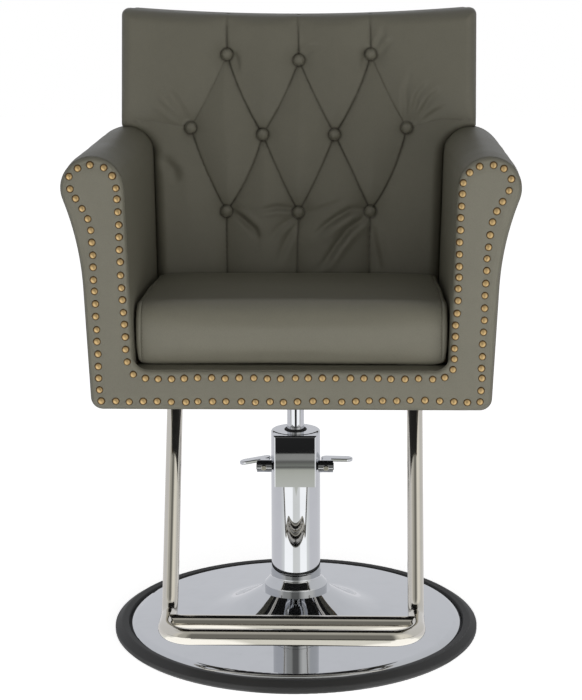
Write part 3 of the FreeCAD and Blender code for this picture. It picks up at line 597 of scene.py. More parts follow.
def repeatTree():
    """Puts one object on every point of a mesh, its +Z along the point's aim, with a seeded turn and size."""
    tree = bpy.data.node_groups.new("repeat on points", "GeometryNodeTree")

    def made(kind, sockets, **values):
        return node(tree, kind, sockets, **values)

    tree.interface.new_socket(name="Geometry", in_out="INPUT", socket_type="NodeSocketGeometry")
    for label, kind in (("Item", "Object"), ("Material", "Material"), ("Seed", "Int"), ("Turn", "Float"),
                        ("Size change", "Float")):
        tree.interface.new_socket(name=label, in_out="INPUT", socket_type="NodeSocket" + kind)
    tree.interface.new_socket(name="Geometry", in_out="OUTPUT", socket_type="NodeSocketGeometry")
    given = tree.nodes.new("NodeGroupInput").outputs
    item = made("GeometryNodeObjectInfo", {"Object": given["Item"]}).outputs["Geometry"]
    aim, along = (made("GeometryNodeInputNamedAttribute", {"Name": name},
                       data_type="FLOAT_VECTOR").outputs["Attribute"] for name in ("aim", "along"))
    first = made("FunctionNodeAlignRotationToVector", {"Vector": aim}, axis="Z").outputs[0]
    second = made("FunctionNodeAlignRotationToVector", {"Rotation": first, "Vector": along}, axis="X",
                  pivot_axis="Z")

    def between(low, high):
        value = made("FunctionNodeRandomValue", {"Min": low, "Max": high, "Seed": given["Seed"]},
                     data_type="FLOAT")
        return [s for s in value.outputs if s.enabled and s.type == "VALUE"][0]

    turn = between(mathNode(tree, "MULTIPLY", given["Turn"], -1.0), given["Turn"])
    spin = made("ShaderNodeCombineXYZ", {"Z": turn}).outputs[0]
    spun = made("FunctionNodeEulerToRotation", {0: spin}).outputs[0]
    turned = made("FunctionNodeRotateRotation", {"Rotation": second.outputs[0], "Rotate By": spun},
                  rotation_space="LOCAL").outputs[0]
    size = between(*(mathNode(tree, way, 1.0, given["Size change"]) for way in ("SUBTRACT", "ADD")))
    placed = made("GeometryNodeInstanceOnPoints", {"Points": given["Geometry"], "Instance": item, "Rotation": turned,
                                                   "Scale": size}).outputs[0]
    real = made("GeometryNodeRealizeInstances", {"Geometry": placed}).outputs[0]
    dressed = made("GeometryNodeSetMaterial", {"Geometry": real, "Material": given["Material"]}).outputs[0]
    made("NodeGroupOutput", {0: dressed})
    return tree


repeats = repeatTree()


def repeatPiece(name, points, aims, alongs, item, material, body, seed, turn, change):
    """A plain mesh piece of one item repeated on points."""
    mesh = bpy.data.meshes.new(name)
    mesh.from_pydata([tuple(map(float, p)) for p in points], [], [])
    for label, rows in (("aim", aims), ("along", alongs)):
        attribute = mesh.attributes.new(label, "FLOAT_VECTOR", "POINT")
        attribute.data.foreach_set("vector", np.array(rows, np.float32).ravel())
    carrier = linked(name + "_points", mesh)
    modifier = carrier.modifiers.new("repeats", "NODES")
    modifier.node_group = repeats
    wanted = {"Item": item, "Material": material, "Seed": seed, "Turn": turn, "Size change": change}
    for socket in repeats.interface.items_tree:
        if socket.in_out == "INPUT" and socket.name in wanted:
            modifier[socket.identifier] = wanted[socket.name]
    bpy.context.view_layer.update()
    baked = bakedMesh(carrier)
    bpy.data.objects.remove(carrier)
    bpy.data.objects.remove(item)
    baked.name = name
    return carry(name, baked, body)


facePiece = buildFace()
faceTree = BVHTree.FromObject(facePiece, bpy.context.evaluated_depsgraph_get())


def nailheads():
    """One closed row of heads, each seated on the leather where it lies."""
    hits = [faceTree.ray_cast(Vector((x, -0.4, z)), Vector((0, 1, 0)))[0] for x, z in nails]
    points = [(x, hit.y + face["sunk"], z) for (x, z), hit in zip(nails, hits)]
    head = headShape("nailhead", face["headRadius"], face["headHeight"], 9, brass, 0.54)
    return repeatPiece("brass_nailheads", points, [(0, -1, 0)] * len(points), [(1, 0, 0)] * len(points), head, brass,
                       "seat", seed=7, turn=3.1, change=0.04)


nailheads()
print("front face and nailheads made")

# ---- arms ----
def backReach():
    """How far back the arms' tops run."""
    return back["y"] + back["thick"] + (body["scrollZ"] + body["scrollR"] - back["refZ"]) * back["lean"]


arm = {"splay": 0.005, "drop": 0.006, "stations": 70, "frontSeam": 0.0022, "rearSeam": 0.0015, "bulge": 0.0020,
       "fade": 0.05, "uneven": 0.0008, "insideShare": 0.4, "clear": 0.0006}


def buildArm(side):
    outer, roll = armOutline()
    section = resample(np.vstack([outer, roll, [(body["innerLow"], body["railTop"] + 0.001)]]), 0.005, closed=False)
    count = len(section)
    normal = lineNormals(section)
    front = body["panelBack"] + 0.0003
    reach = backReach() - front
    end = backY(section[:, 0], section[:, 1]) + back["thick"] - arm["clear"]
    high = np.clip((section[:, 1] - 0.47) / 0.06, 0, 1)
    stations = np.concatenate([[0, 0.002, 0.005, 0.009, 0.015], np.linspace(0.022, 0.985, arm["stations"]),
                               [0.993, 1.0]])
    verts = []
    for t in stations:
        y = front + (end - front) * t
        share = (y - front) / reach
        x = section[:, 0] + arm["splay"] * share
        z = section[:, 1] - arm["drop"] * share
        near, far = y - front, end - y
        soft = np.clip(near / arm["fade"], 0, 1) * np.clip(far / arm["fade"], 0, 1) * high
        puff = -arm["frontSeam"] * np.exp(-near / 0.004) - arm["rearSeam"] * np.exp(-far / 0.005)
        puff += soft * np.where(x < 0.25, arm["insideShare"], 1.0) * (
            arm["bulge"] + arm["uneven"] * ripple(x, y, z, 11 if side > 0 else 12, 0.11))
        verts += [(side * (px + n[0] * p), py, pz + n[1] * p)
                  for px, py, pz, n, p in zip(x, y, z, normal, puff)]
    rows = rowsOf(len(stations), count)
    faces = walls(rows, closed=False)
    for row in (rows[0], rows[-1]):
        verts.append(tuple(np.mean(verts[row[0]:row[-1] + 1], axis=0)))
        faces += fan(row, len(verts) - 1)
    faces += [(a[0], b[0], b[-1], a[-1]) for a, b in zip(rows, rows[1:])]
    name = "right" if side > 0 else "left"
    piece = makePiece("arm_cover_" + name, verts, faces, leather, "seat")
    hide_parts("arm_" + name)
    return piece


buildArm(1)
buildArm(-1)
print("arms made")

# ---- seat cushion ----
cushion = {"half": 0.2344, "front": -0.2372, "low": 0.5007, "crown": 0.5932, "rear": 0.5730, "rearY": 0.1490,
           "frontTop": 0.036, "frontLow": 0.008, "edge": 0.0046, "bulge": 0.0030, "step": 0.0058, "pressure": 1.4,
           "frames": 14, "cap": 0.0018, "seamIn": 0.0078, "seamWidth": 0.0015, "seamDepth": 0.0014, "uneven": 0.0008,
           "clear": 0.0006, "frontLimit": 0.0055, "stitchPitch": 0.0052, "stitchIn": 0.0026, "stitchLift": 0.0002}


def inflate(mesh, pressure, frames, cap):
    """Cloth with air inside, applied: every point moves at most cap from where it was."""
    rest = coords(mesh)
    work = linked("inflating", mesh.copy())
    modifier = work.modifiers.new("Cloth", "CLOTH")
    settings = modifier.settings
    settings.quality = 6
    settings.use_pressure = True
    settings.uniform_pressure_force = pressure
    settings.effector_weights.gravity = 0
    settings.tension_stiffness = settings.compression_stiffness = 12
    settings.bending_stiffness = 2.0
    modifier.collision_settings.use_collision = False
    modifier.point_cache.frame_start, modifier.point_cache.frame_end = 1, frames
    for f in range(1, frames + 1):
        scene.frame_set(f)
    delta = coords(bakedMesh(work)) - rest
    bpy.data.objects.remove(work)
    scene.frame_set(1)
    size = np.linalg.norm(delta, axis=1)
    return rest + delta * (cap * np.tanh(size / cap) / np.maximum(size, 1e-9))[:, None]


def subdivided(mesh):
    obj = linked("dividing", mesh)
    modifier = obj.modifiers.new("Subdivide", "SUBSURF")
    modifier.levels = modifier.render_levels = 1
    out = bakedMesh(obj)
    bpy.data.objects.remove(obj)
    return out


def cushionSection():
    """The cushion cut front to back: a soft waterfall front and a top that falls a little to the rear."""
    c = cushion
    corners = [(c["rearY"], c["low"], 0.010), (c["front"] + 0.004, c["low"], c["frontLow"]),
               (c["front"], c["crown"] - 0.052, 0.05), (c["front"] + 0.003, c["crown"], c["frontTop"]),
               (c["front"] + 0.17, c["crown"] - 0.003, 0.4), (c["rearY"], c["rear"], 0.016)]
    return roundedPath(corners, c["step"])


def cushionMesh():
    c = cushion
    loop = cushionSection()
    inward = loopNormals(loop)
    sides = c["half"] - np.array([0.0, 0.0006, 0.0016, 0.0032, 0.0050, 0.0068, 0.0088, 0.0115])
    stations = np.concatenate([sides, np.linspace(c["half"] - 0.017, 0, int(c["half"] / c["step"]))])
    stations = np.concatenate([-stations, stations[::-1][1:]])
    verts, n = [], len(loop)
    for x in stations:
        side = 1 - (abs(x) / c["half"]) ** 4
        swell = c["bulge"] * side * np.clip((loop[:, 1] - c["low"]) / 0.03, 0, 1)
        wave = c["uneven"] * ripple(loop[:, 0] * 0 + x, loop[:, 0], loop[:, 1], 21, 0.14) * side
        shift = roundOver(np.array([c["half"] - abs(x)]), c["edge"])[0] - swell - wave
        corner = np.clip((c["low"] + 0.03 - loop[:, 1]) / 0.03, 0, 1)
        corner *= np.clip((abs(x) - c["half"] + 0.02) / 0.02, 0, 1)
        verts += [(x * (1 - 0.012 * k), p[0] + q[0] * h, p[1] + q[1] * h + 0.004 * k * k)
                  for p, q, h, k in zip(loop, inward, shift, corner)]
    rows = rowsOf(len(stations), n)
    faces = walls(rows)
    for row in (rows[0], rows[-1]):
        ring = np.array(verts[row[0]:row[-1] + 1])
        inner = range(len(verts), len(verts) + n)
        verts += [tuple(v) for v in ring.mean(0) + (ring - ring.mean(0)) * 0.5] + [tuple(ring.mean(0))]
        faces += band(row, inner) + fan(inner, len(verts) - 1)
    return solidMesh("seat_cushion_cover", verts, faces)


def buildCushion():
    c = cushion
    mesh = cushionMesh()
    setCoords(mesh, inflate(mesh, c["pressure"], c["frames"], c["cap"]))
    mesh = subdivided(mesh)
    co = coords(mesh)
    seamX = c["half"] - c["seamIn"]
    top = np.clip((co[:, 2] - (c["crown"] - 0.045)) / 0.03, 0, 1)
    front = np.clip((c["front"] + 0.05 - co[:, 1]) / 0.03, 0, 1)
    front *= np.clip((co[:, 2] - c["low"] - 0.006) / 0.01, 0, 1)
    size = np.maximum(np.hypot(top, front), 1e-6)
    pull = c["seamDepth"] * bell(np.abs(co[:, 0]) - seamX, c["seamWidth"]) * np.clip(size, 0, 1)
    co[:, 1] += pull * front / size
    co[:, 2] -= pull * top / size
    reach = c["half"] + c["clear"]
    co[:, 0] = np.clip(co[:, 0], -reach, reach)
    co[:, 1] = np.maximum(co[:, 1], c["front"] - c["frontLimit"])
    co[:, 2] = np.maximum(co[:, 2], c["low"] - 0.0002)
    setCoords(mesh, co)
    mesh.shade_smooth()
    mesh.materials.clear()
    mesh.materials.append(leather)
    piece = carry("seat_cushion_cover", mesh, "seat")
    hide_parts("seat_cushion")
    return piece, seamX


def railLap():
    """The face's leather turned over the front rail, as far as the cushion."""
    xs = np.linspace(-0.2346, 0.2346, 120)
    ys = np.concatenate([[-0.2592, -0.2584], np.linspace(-0.2568, -0.2362, 9), [-0.2352, -0.2250, -0.2050]])
    zs = np.concatenate([[0.4986, 0.4996], np.full(9, 0.5001), np.full(3, 0.5005)])
    verts = []
    for y, z in zip(ys, zs):
        lift = 0.0003 * ripple(xs, xs * 0 + y, xs * 0, 17, 0.06) * (y < -0.237)
        verts += [(x, y, z + up) for x, up in zip(xs, lift)]
    verts += [(x, y, 0.4973 if y < -0.236 else 0.5001) for y in ys for x in xs]
    rows = rowsOf(len(ys), len(xs))
    half = len(ys) * len(xs)
    faces = walls(rows, closed=False)
    under = [tuple(half + v for v in f[::-1]) for f in faces]
    rim = [*rows[0], *[row[-1] for row in rows[1:]], *rows[-1][-2::-1], *[row[0] for row in rows[-2:0:-1]]]
    faces += under + band(rim, [half + v for v in rim])
    return makePiece("rail_lap", verts, faces, leather, "seat")


def seamStitches(piece, seamX):
    """Pale stitches beside each side seam, over the front and the top."""
    tree = BVHTree.FromObject(piece, bpy.context.evaluated_depsgraph_get())
    low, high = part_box("seat_cushion")
    points, aims, alongs = [], [], []
    for side in (-1, 1):
        centre = Vector((side * (seamX - cushion["stitchIn"]), low[1] + 0.09, (low[2] + high[2]) / 2))
        path, normals = [], []
        for k in range(-30, 200):
            a = math.radians(192 - k * 0.9)
            way = Vector((0, math.cos(a), math.sin(a)))
            hit, normal, _, _ = tree.ray_cast(centre + way * 0.6, -way)
            if hit is not None and hit.y < high[1] - 0.02:
                path.append(tuple(hit))
                normals.append(tuple(normal))
        path, normals = np.array(path), np.array(normals)
        spots = resample(path, cushion["stitchPitch"], closed=False)
        for start, end in zip(spots, spots[1:]):
            middle = (start + end) / 2
            normal = normals[int(np.argmin(np.linalg.norm(path - middle, axis=1)))]
            points.append(middle + normal * cushion["stitchLift"])
            aims.append(normal)
            alongs.append(end - start)
    return repeatPiece("cushion_stitches", points, aims, alongs, stitchShape(0.0034, 0.00045), thread, "seat",
                       seed=5, turn=0.08, change=0.06)


def stitchShape(length, radius):
    """A short thread that dips into the leather at both ends, lying along X."""
    verts, rings, count = [], 7, 6
    for t in np.linspace(-1, 1, rings):
        r = radius * math.sqrt(max(0.05, 1 - t ** 4))
        z = radius * (0.6 - 1.6 * t ** 4)
        verts += [(t * length / 2, y, z + up) for y, up, _ in circle(count, r, 0)]
    rows = rowsOf(rings, count)
    mesh = bpy.data.meshes.new("stitch")
    mesh.from_pydata(verts, [], walls(rows) + [tuple(reversed(rows[0])), tuple(rows[-1])])
    mesh.shade_smooth()
    return linked("stitch", mesh)


cushionPiece, seamX = buildCushion()
railLap()
seamStitches(cushionPiece, seamX)
print("cushion made")

# ---- tufted back ----
# button rows: height at the middle, how much the row rises outwards, and where its buttons stand in pitches
tuft = {"rows": ((0.925, 0.0100, (-1, 0, 1)), (0.7985, 0.0062, (-1.5, -0.5, 0.5, 1.5)),
                 (0.669, 0.0025, (-1, 0, 1))),
        "pitch": 0.1235, "dome": 0.0160, "spread": 0.027, "pit": 0.009, "pitRadius": 0.021, "crease": 0.0036,
        "creaseWidth": 0.0022, "lap": 0.0034, "lapWidth": 0.0065, "edge": 0.020, "base": 0.0115, "spacing": 0.0036,
        "buttonRadius": 0.0101, "buttonHeight": 0.0062, "rise": 0.0035, "flat": 0.30, "flatWidth": 0.045,
        "foldDepth": 2.2, "foldRidge": 1.2, "uneven": 0.0012, "rim": 0.016, "notch": 0.0032, "notchWidth": 0.0028,
        "rings": (0.0008, 0.0024, 0.005, 0.0085, 0.0125, 0.0165), "besidePleat": (0.0012, 0.0028, 0.0050),
        "roundButton": (0.0092, 0.0112, 0.0134, 0.016), "sideDepth": 0.0665,
        "sides": ((0.0, -0.0004), (0.35, -0.0010), (0.7, -0.0006), (1.0, 0.0004))}


def buttonSpots():
    return [[(step * tuft["pitch"], z + rise * step ** 2) for step in steps]
            for z, rise, steps in tuft["rows"]]


def bowed(a, b, bow=0.0):
    """Points from a to b on a slightly bowed line."""
    a, b = np.array(a, float), np.array(b, float)
    side = np.array((-(b - a)[1], (b - a)[0]))
    t = np.linspace(0, 1, 24)[:, None]
    return a + (b - a) * t + side * bow * 4 * t * (1 - t)


def pleatLines():
    """Every pleat as (points, strength, lap side)."""
    (t1, t2, t3), (m1, m2, m3, m4), (b1, b2, b3) = buttonSpots()
    over = back["top"] + 0.03
    floor = body["railTop"] + 0.01
    lines = [(bowed(p, (p[0] + lean, end)), strength, lap) for p, lean, end, strength, lap in (
        (t1, 0.000, over, 0.85, 1), (t2, -0.002, over, 0.85, -1), (t3, -0.002, over, 0.85, -1),
        (b1, 0.003, floor, 0.8, 1), (b2, -0.003, floor, 0.8, -1), (b3, -0.002, floor, 0.8, 1))]
    lines += [(bowed(p, q, bow), strength, lap) for p, q, bow, strength, lap in (
        (t1, m1, 0.02, 0.45, -1), (t1, m2, -0.03, 1.0, 1), (t2, m2, 0.03, 0.8, -1), (t2, m3, -0.01, 0.8, 1),
        (t3, m3, 0.04, 1.0, -1), (t3, m4, -0.02, 0.5, 1), (m1, b1, -0.02, 0.8, 1), (m2, b1, 0.05, 0.9, -1),
        (m2, b2, -0.01, 0.8, 1), (m3, b2, 0.02, 0.8, -1), (m3, b3, 0.01, 0.9, 1), (m4, b3, 0.05, 0.9, -1))]
    return lines + [(np.array([m1, (-0.250, 0.826), (-0.302, 0.824)]), 0.22, 1),
                    (np.array([m4, (0.243, 0.829), (0.302, 0.828)]), 0.22, 1)]


# soft folds in the leather: points, depth, width
wrinkles = [
    ([(-0.112, 0.670), (-0.096, 0.660), (-0.075, 0.643), (-0.069, 0.627)], 0.0042, 0.0055),
    ([(-0.007, 0.674), (-0.036, 0.679), (-0.067, 0.674)], 0.0034, 0.0040),
    ([(-0.011, 0.658), (-0.031, 0.647), (-0.046, 0.631)], 0.0018, 0.0050),
    ([(-0.002, 0.651), (-0.023, 0.617), (-0.033, 0.590)], 0.0020, 0.0060),
    ([(-0.111, 0.680), (-0.090, 0.674), (-0.067, 0.672)], 0.0012, 0.0050),
    ([(0.112, 0.674), (0.089, 0.674), (0.068, 0.663), (0.048, 0.648), (0.027, 0.630)], 0.0046, 0.0062),
    ([(0.112, 0.661), (0.085, 0.641), (0.065, 0.616), (0.048, 0.590), (0.036, 0.576)], 0.0042, 0.0060),
    ([(0.127, 0.641), (0.133, 0.607), (0.139, 0.576)], 0.0022, 0.0055),
    ([(0.017, 0.669), (0.048, 0.679), (0.079, 0.691)], 0.0016, 0.0060),
    ([(-0.191, 0.831), (-0.210, 0.865), (-0.224, 0.882)], 0.0018, 0.0045),
    ([(-0.195, 0.827), (-0.218, 0.855), (-0.239, 0.886)], 0.0016, 0.0042),
    ([(-0.200, 0.823), (-0.222, 0.843), (-0.245, 0.862)], 0.0014, 0.0040),
    ([(0.184, 0.827), (0.182, 0.875), (0.192, 0.910)], 0.0016, 0.0050),
    ([(0.192, 0.825), (0.202, 0.865), (0.218, 0.888)], 0.0020, 0.0045),
    ([(0.200, 0.823), (0.222, 0.860), (0.241, 0.878)], 0.0020, 0.0045),
    ([(0.206, 0.821), (0.233, 0.840), (0.251, 0.850)], 0.0014, 0.0045),
    ([(-0.113, 0.937), (-0.107, 0.929), (-0.103, 0.906)], 0.0016, 0.0045),
    ([(0.134, 0.948), (0.143, 0.968), (0.144, 0.986)], 0.0016, 0.0045),
    ([(0.140, 0.938), (0.149, 0.950), (0.161, 0.960)], 0.0014, 0.0045),
    ([(0.114, 0.942), (0.112, 0.929), (0.109, 0.906)], 0.0014, 0.0045),
    ([(0.012, 0.936), (0.022, 0.945), (0.035, 0.949)], 0.0012, 0.0045),
    ([(-0.231, 0.761), (-0.213, 0.743), (-0.205, 0.722)], 0.0030, 0.0100),
]


def tuftHeight(points):
    """How far the leather stands forward of the pleats' floor, and the painted shade along its pleats and round its
    buttons.
    """
    spots = np.array([p for row in buttonSpots() for p in row])
    fromButton = np.min([np.linalg.norm(points - s, axis=1) for s in spots], axis=0)
    nearest = np.full(len(points), 9.0)
    cut, painted_fold_shade, laps = np.zeros(len(points)), np.zeros(len(points)), np.zeros(len(points))
    for line, strength, lapSide in pleatLines():
        dist, share, side = lineField(points, line)
        shallow = dist + (1 - strength) * 0.012 + 0.006 * np.sin(math.pi * np.clip(share, 0, 1)) * strength
        nearest = np.minimum(nearest, shallow)
        opened = strength * (0.55 + 0.45 * np.abs(2 * share - 1))
        cut = np.maximum(cut, opened * np.exp(-(dist / tuft["creaseWidth"])))
        # painted shade: a thin dark line along each pleat
        painted_fold_shade = np.maximum(painted_fold_shade, opened * bell(dist, 0.0008 + 0.0009 * strength))
        laps = np.maximum(laps, strength * np.exp(-dist / tuft["lapWidth"]) * (side == lapSide))
    height = tuft["dome"] * (1 - np.exp(-(nearest / tuft["spread"]) ** 1.15))
    height *= 1 - tuft["flat"] * bell(fromButton, tuft["flatWidth"])
    height += tuft["lap"] * laps - tuft["crease"] * cut - tuft["pit"] * bell(fromButton, tuft["pitRadius"])
    for line, depth, width in wrinkles:
        dist, share, side = lineField(points, np.array(line))
        fade = depth * np.sin(math.pi * np.clip(0.12 + 0.86 * share, 0, 1)) ** 0.7
        height -= tuft["foldDepth"] * fade * bell(dist, width)
        height += tuft["foldRidge"] * fade * bell(dist - 1.9 * width, 1.3 * width) * (side > 0)
    # painted shade: a dark ring round each button where the leather sinks into its pit
    outline = bell(fromButton - tuft["buttonRadius"] - 0.0006, 0.0020)
    return height, np.maximum(painted_fold_shade, 0.6 * outline)


def crownLine(half, roundTop):
    """The back's top edge with rounded ends, as corners: it dips in the middle."""
    xs = [half, *np.linspace(half - roundTop, -half + roundTop, 40), -half]
    rounds = [roundTop, *[0] * 40, roundTop]
    return [(x, back["top"] + back["rise"] * (x / back["half"]) ** 2, r) for x, r in zip(xs, rounds)]


def padOutline():
    """The tufted pad's outline: over the arms at the top, down along their rolls and inner sides."""
    half, clear = back["half"], 0.0009
    roll = armOutline()[1]
    line = resample(np.vstack([roll, [(body["innerLow"], body["railTop"] + 0.0035)]]), 0.003, closed=False)
    depth = backY(line[:, 0], line[:, 1]) + 0.5 * back["thick"] - body["panelBack"]
    share = depth / (backReach() - body["panelBack"])
    line = line + np.stack([arm["splay"] * share, -arm["drop"] * share], 1)
    line = line + lineNormals(line) * clear
    line = line[(line[:, 0] < half - 0.004) & (line[:, 1] > body["railTop"] + 0.003)]
    over = line[0][1] + 0.0005
    corners = (crownLine(half, 0.010) + [(-half, over, 0.0035)] + [(-x, z, 0) for x, z in line]
               + [(x, z, 0) for x, z in line[::-1]] + [(half, over, 0.0035)])
    return roundedPath(corners, 0.003)


def buildBackPad():
    loop = padOutline()
    extra = []
    for line, _, _ in pleatLines():
        dense = resample(line, 0.0028, closed=False)
        n = lineNormals(dense)
        extra += [dense] + [dense - n * d * way for d in tuft["besidePleat"] for way in (1, -1)]
    turn = np.arange(0, 2 * math.pi, 0.22)
    extra += [np.stack([x + r * np.cos(turn), z + r * np.sin(turn)], 1)
              for row in buttonSpots() for x, z in row for r in tuft["roundButton"]]
    flat, faces, rim, dist = fillOutline(loop, tuft["spacing"], rings=tuft["rings"], extra=np.vstack(extra))
    height, painted_fold_shade = tuftHeight(flat)
    puff = tuft["uneven"] * ripple(flat[:, 0], flat[:, 0] * 0, flat[:, 1], 31, 0.09)
    y = backY(flat[:, 0], flat[:, 1]) + roundOver(dist, tuft["edge"])
    y += (tuft["base"] - height - puff) * np.clip(dist / tuft["rim"], 0, 1)
    verts = [(x, d, z) for (x, z), d in zip(flat, y)]
    # painted shade for the pleats and buttons, weaker near the pad's edge
    marks = list(painted_fold_shade * np.clip(dist / 0.01, 0.35, 1))
    inward = loopNormals(loop)
    notch = np.zeros(len(loop))
    for line, _, _ in pleatLines()[:3]:
        gap = lineField(loop, line)[0]
        notch = np.maximum(notch, tuft["notch"] * bell(gap, tuft["notchWidth"]) * (loop[:, 1] > 0.95))
    for v, n, depth in zip(rim, inward, notch):
        x, d, z = verts[v]
        verts[v] = (x + n[0] * depth, d, z + n[1] * depth)
    loopY = backY(loop[:, 0], loop[:, 1]) + tuft["edge"]
    rings = [rim]
    for share, out in tuft["sides"]:
        deeper = (tuft["sideDepth"] - tuft["edge"]) * max(share, 0.06)
        rings.append(addRing(verts, loop, out + notch * (1 - 0.6 * share), loopY + deeper))
        # painted shade down the side walls where the top edge is notched
        marks += list(notch / tuft["notch"] * 0.8 * (1 - share))
    faces += walls(rings)
    inner = addCap(verts, faces, loop + inward * 0.0035, 0.014,
                   lambda x, z: backY(x, z) + back["thick"] - 0.0004)
    marks += [0.0] * (len(verts) - len(marks))
    faces += band(rings[-1], inner)
    piece = makePiece("tufted_back", verts, faces, leather, "seat")
    # the painted shade that the leather darkens by
    piece.data.attributes.new("painted_fold_shade", "FLOAT", "POINT").data.foreach_set("value", np.array(marks, np.float32))
    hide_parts("back_pad")
    return piece


def buildButtons():
    """Covered buttons sunk in the pits, each square to the back."""
    points, aims = [], []
    for x, z in [spot for row in buttonSpots() for spot in row]:
        points.append((x, backY(x, z) + tuft["base"] + tuft["rise"], z))
        slope = Vector((2 * back["wrap"] * x / back["half"] ** 2, 1.0, -back["lean"])).normalized()
        aims.append(tuple(-slope))
    button = headShape("button", tuft["buttonRadius"], tuft["buttonHeight"] + 0.004, 8, leather, 0.9)
    piece = repeatPiece("covered_buttons", points, aims, [(1, 0, 0)] * len(points), button, leather,
                        "seat", seed=3, turn=1.5, change=0.02)
    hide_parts("back_buttons")
    return piece


buildBackPad()
buildButtons()
print("tufted back made")

# ---- back shell ----
shell = {"edge": 0.010, "puff": 0.004, "start": 0.0672, "seamIn": 0.014, "seamWidth": 0.0018, "seam": 0.0016,
         "uneven": 0.0008, "round": 0.018, "spacing": 0.008, "cap": 0.0756,
         "rings": (0.0008, 0.0025, 0.005, 0.009, 0.014, 0.020)}


def buildShell():
    half, low, rounded = back["half"] - 0.0005, body["bottom"] + 0.001, shell["round"]
    loop = roundedPath(crownLine(half, rounded) + [(-half, low, rounded), (half, low, rounded)], 0.003)
    flat, faces, rim, dist = fillOutline(loop, shell["spacing"], rings=shell["rings"])
    rear = back["thick"] + back["board"] + back["shell"]
    y = backY(flat[:, 0], flat[:, 1]) + rear - roundOver(dist, shell["edge"])
    y -= shell["puff"] * np.exp(-dist / 0.03)
    y += shell["uneven"] * ripple(flat[:, 0], flat[:, 0] * 0, flat[:, 1], 41, 0.16)
    y -= shell["seam"] * bell(dist - shell["seamIn"], shell["seamWidth"])
    verts = [(x, d, z) for (x, z), d in zip(flat, y)]
    loopY = backY(loop[:, 0], loop[:, 1])
    rings = [rim] + [addRing(verts, loop, out, loopY + depth) for depth, out in (
        (rear - shell["edge"] - 0.003, 0.0), (0.085, -0.0004), (0.073, 0.0), (shell["start"] + 0.0012, 0.0008),
        (shell["start"], 0.003))]
    faces += walls(rings)
    inner = addCap(verts, faces, loop + loopNormals(loop) * 0.006, 0.02,
                   lambda x, z: backY(x, z) + shell["cap"])
    faces += band(rings[-1], inner)
    piece = makePiece("back_cover", verts, faces, leather, "seat")
    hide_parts("back_shell")
    return piece


buildShell()
print("back cover made")


# ---- floor, light and camera ----
def turnAround(tree, where):
    """The compass direction of a place or ray about Z, 0.5 towards the front and more towards +X."""
    turn = mathNode(tree, "ARCTAN2", where.outputs[0], mathNode(tree, "MULTIPLY", where.outputs[1], -1.0))
    return scaled(tree, turn, 1 / (2 * math.pi), 0.5)


def chosen(tree, factor, first, second):
    """One of two shaders."""
    return node(tree, "ShaderNodeMixShader", {0: factor, 1: first, 2: second}).outputs[0]


def lit(tree, kind, colour, strength):
    return node(tree, kind, {"Color": (*colour, 1) if isinstance(colour, tuple) else colour,
                             "Strength": strength}).outputs[0]


def floorMaterial():
    """White to the camera with the shadow kept; its reflections stand for a studio in front of the chair."""
    material, tree, bsdf = newMaterial("studio floor")
    tree.nodes.remove(bsdf)
    rays = node(tree, "ShaderNodeLightPath").outputs
    turn = turnAround(tree, node(tree, "ShaderNodeSeparateXYZ", {0: place(tree)}))
    away = node(tree, "ShaderNodeVectorMath", {0: place(tree)}, operation="LENGTH").outputs["Value"]
    away = scaled(tree, away, 0.5)
    white, edge = (1.45, 1.46, 1.46), (0.80, 0.80, 0.83)
    around = ramp(tree, turn, [
        (0.0, edge), (0.30, edge), (0.355, (0.96, 0.98, 0.97)), (0.362, white), (0.462, white),
        (0.472, (0.92, 0.93, 0.90)), (0.552, (0.95, 0.96, 0.94)), (0.561, white), (0.640, white),
        (0.648, (1.0, 1.02, 1.0)), (0.70, edge), (1.0, edge)])
    ahead = ramp(tree, away, [
        (0.0, (0.70, 0.71, 0.66)), (0.44, (0.72, 0.73, 0.67)), (0.50, (0.62, 0.63, 0.56)),
        (0.519, (0.55, 0.56, 0.49)), (0.528, (0.12, 0.12, 0.11)), (0.535, (0.26, 0.27, 0.24)),
        (0.552, (0.14, 0.14, 0.13)), (0.560, (0.36, 0.36, 0.34)), (0.582, (0.34, 0.34, 0.32)), (0.586, (0.02,)),
        (0.80, (0.03,))])
    width = ramp(tree, away, [(0.0, (0.0,)), (0.41, (0.0,)), (0.46, (0.034,)), (0.8, (0.040,))])
    off = mathNode(tree, "ABSOLUTE", mathNode(tree, "SUBTRACT", turn, 0.510))
    inside = scaled(tree, mathNode(tree, "SUBTRACT", width, off), 160.0, clamp=True)
    seen = lit(tree, "ShaderNodeEmission", blendColour(tree, inside, around, ahead), 1.0)
    plain = node(tree, "ShaderNodeBsdfDiffuse", {"Color": (0.86, 0.86, 0.86, 1)}).outputs[0]
    glow = lit(tree, "ShaderNodeEmission", ramp(tree, away, [(0.12, (0.84,)), (0.30, (0.88,)), (0.62, (1.0,))]),
               rays["Is Camera Ray"])
    both = node(tree, "ShaderNodeAddShader", {0: plain, 1: glow}).outputs[0]
    feed(tree, tree.nodes["Material Output"], {"Surface": chosen(tree, rays["Is Glossy Ray"], both, seen)})
    return material


def buildFloor():
    size, low = 9.0, -0.0004
    mesh = bpy.data.meshes.new("floor")
    corners = [(-size, -size, low), (size, -size, low), (size, size, low), (-size, size, low)]
    mesh.from_pydata(corners, [], [(0, 1, 2, 3)])
    mesh.materials.append(floorMaterial())
    linked("floor", mesh)


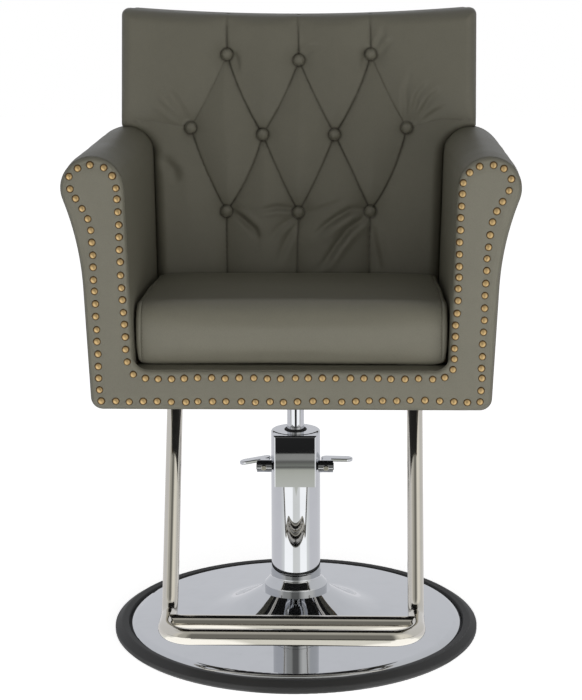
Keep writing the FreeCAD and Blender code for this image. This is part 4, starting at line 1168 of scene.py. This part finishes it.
def buildWorld():
    """Soft even light, a white ground for the camera, and a simple studio for reflections."""
    world = bpy.data.worlds.new("studio")
    scene.world = world
    world.use_nodes = True
    tree = world.node_tree
    tree.nodes.clear()
    rays = node(tree, "ShaderNodeLightPath").outputs
    way = node(tree, "ShaderNodeSeparateXYZ", {0: node(tree, "ShaderNodeTexCoord").outputs["Generated"]})
    rise, wall = way.outputs[2], (0.74, 0.75, 0.78)
    around = ramp(tree, turnAround(tree, way), [
        (0.0, wall), (0.30, wall), (0.355, (0.78, 0.77, 0.74)), (0.375, (0.52, 0.52, 0.50)),
        (0.44, (0.46, 0.46, 0.43)), (0.465, (0.20, 0.20, 0.19)), (0.53, (0.20, 0.20, 0.19)),
        (0.56, (0.60, 0.60, 0.57)), (0.60, (0.98, 0.97, 0.92)), (0.68, (0.90, 0.89, 0.85)),
        (0.72, (0.70, 0.71, 0.72)), (1.0, wall)])
    upper = scaled(tree, rise, 6.0, -4.8, True)
    lower = scaled(tree, rise, -14.0, 0.98, True)
    front = mathNode(tree, "MULTIPLY", scaled(tree, way.outputs[1], -4.0, clamp=True), lower)
    studio = blendColour(tree, upper, around, (0.52, 0.52, 0.50))
    studio = blendColour(tree, front, studio, (0.07, 0.07, 0.07))
    shiny, plain, white = (lit(tree, "ShaderNodeBackground", colour, strength) for colour, strength in (
        (studio, 1.0), ((1.0, 1.0, 1.0), 0.085), ((1.0, 1.0, 1.0), 1.0)))
    final = chosen(tree, rays["Is Camera Ray"], chosen(tree, rays["Is Glossy Ray"], plain, shiny), white)
    node(tree, "ShaderNodeOutputWorld", {"Surface": final})


def areaLight(name, spot, size, power):
    """A soft box that faces the seat and stays out of reflections."""
    data = bpy.data.lights.new(name, "AREA")
    data.shape, data.size, data.size_y = "RECTANGLE", size[0], size[1]
    data.energy = power
    lamp = linked(name, data)
    lamp.location = spot
    lamp.rotation_euler = (Vector((0, 0, 0.6)) - Vector(spot)).to_track_quat("-Z", "Y").to_euler()
    lamp.visible_glossy = lamp.visible_camera = False


def buildCamera():
    """Nearly square on to the front, a little above the back's top and looking down."""
    view = {"reach": 3.0055, "height": 1.1345, "pitch": 0.2163, "turn": 0.0265, "yaw": 0.0024, "roll": -0.0029,
            "lens": 97.09}
    data = bpy.data.cameras.new("camera")
    data.sensor_fit, data.sensor_width, data.lens = "AUTO", 36.0, view["lens"]
    camera = linked("camera", data)
    yaw, pitch = view["turn"] + view["yaw"], view["pitch"]
    ahead = Vector((-math.sin(yaw) * math.cos(pitch), math.cos(yaw) * math.cos(pitch), -math.sin(pitch)))
    right = Vector((math.cos(yaw), math.sin(yaw), 0))
    up = right.cross(ahead)
    c, s = math.cos(view["roll"]), math.sin(view["roll"])
    turned = Matrix((right * c + up * s, up * c - right * s, -ahead)).transposed()
    spot = (view["reach"] * math.sin(view["turn"]), -view["reach"] * math.cos(view["turn"]), view["height"])
    camera.matrix_world = Matrix.Translation(spot) @ turned.to_4x4()
    scene.camera = camera


buildFloor()
buildWorld()
areaLight("right soft box", (0.9, -1.9, 0.55), (1.6, 1.2), 21.0)
areaLight("left soft box", (-0.9, -1.9, 0.55), (1.6, 1.2), 13.2)
areaLight("top fill", (0, 0.1, 3.0), (2.0, 2.0), 3.0)
buildCamera()
scene.view_settings.view_transform = "Standard"
print("studio made")
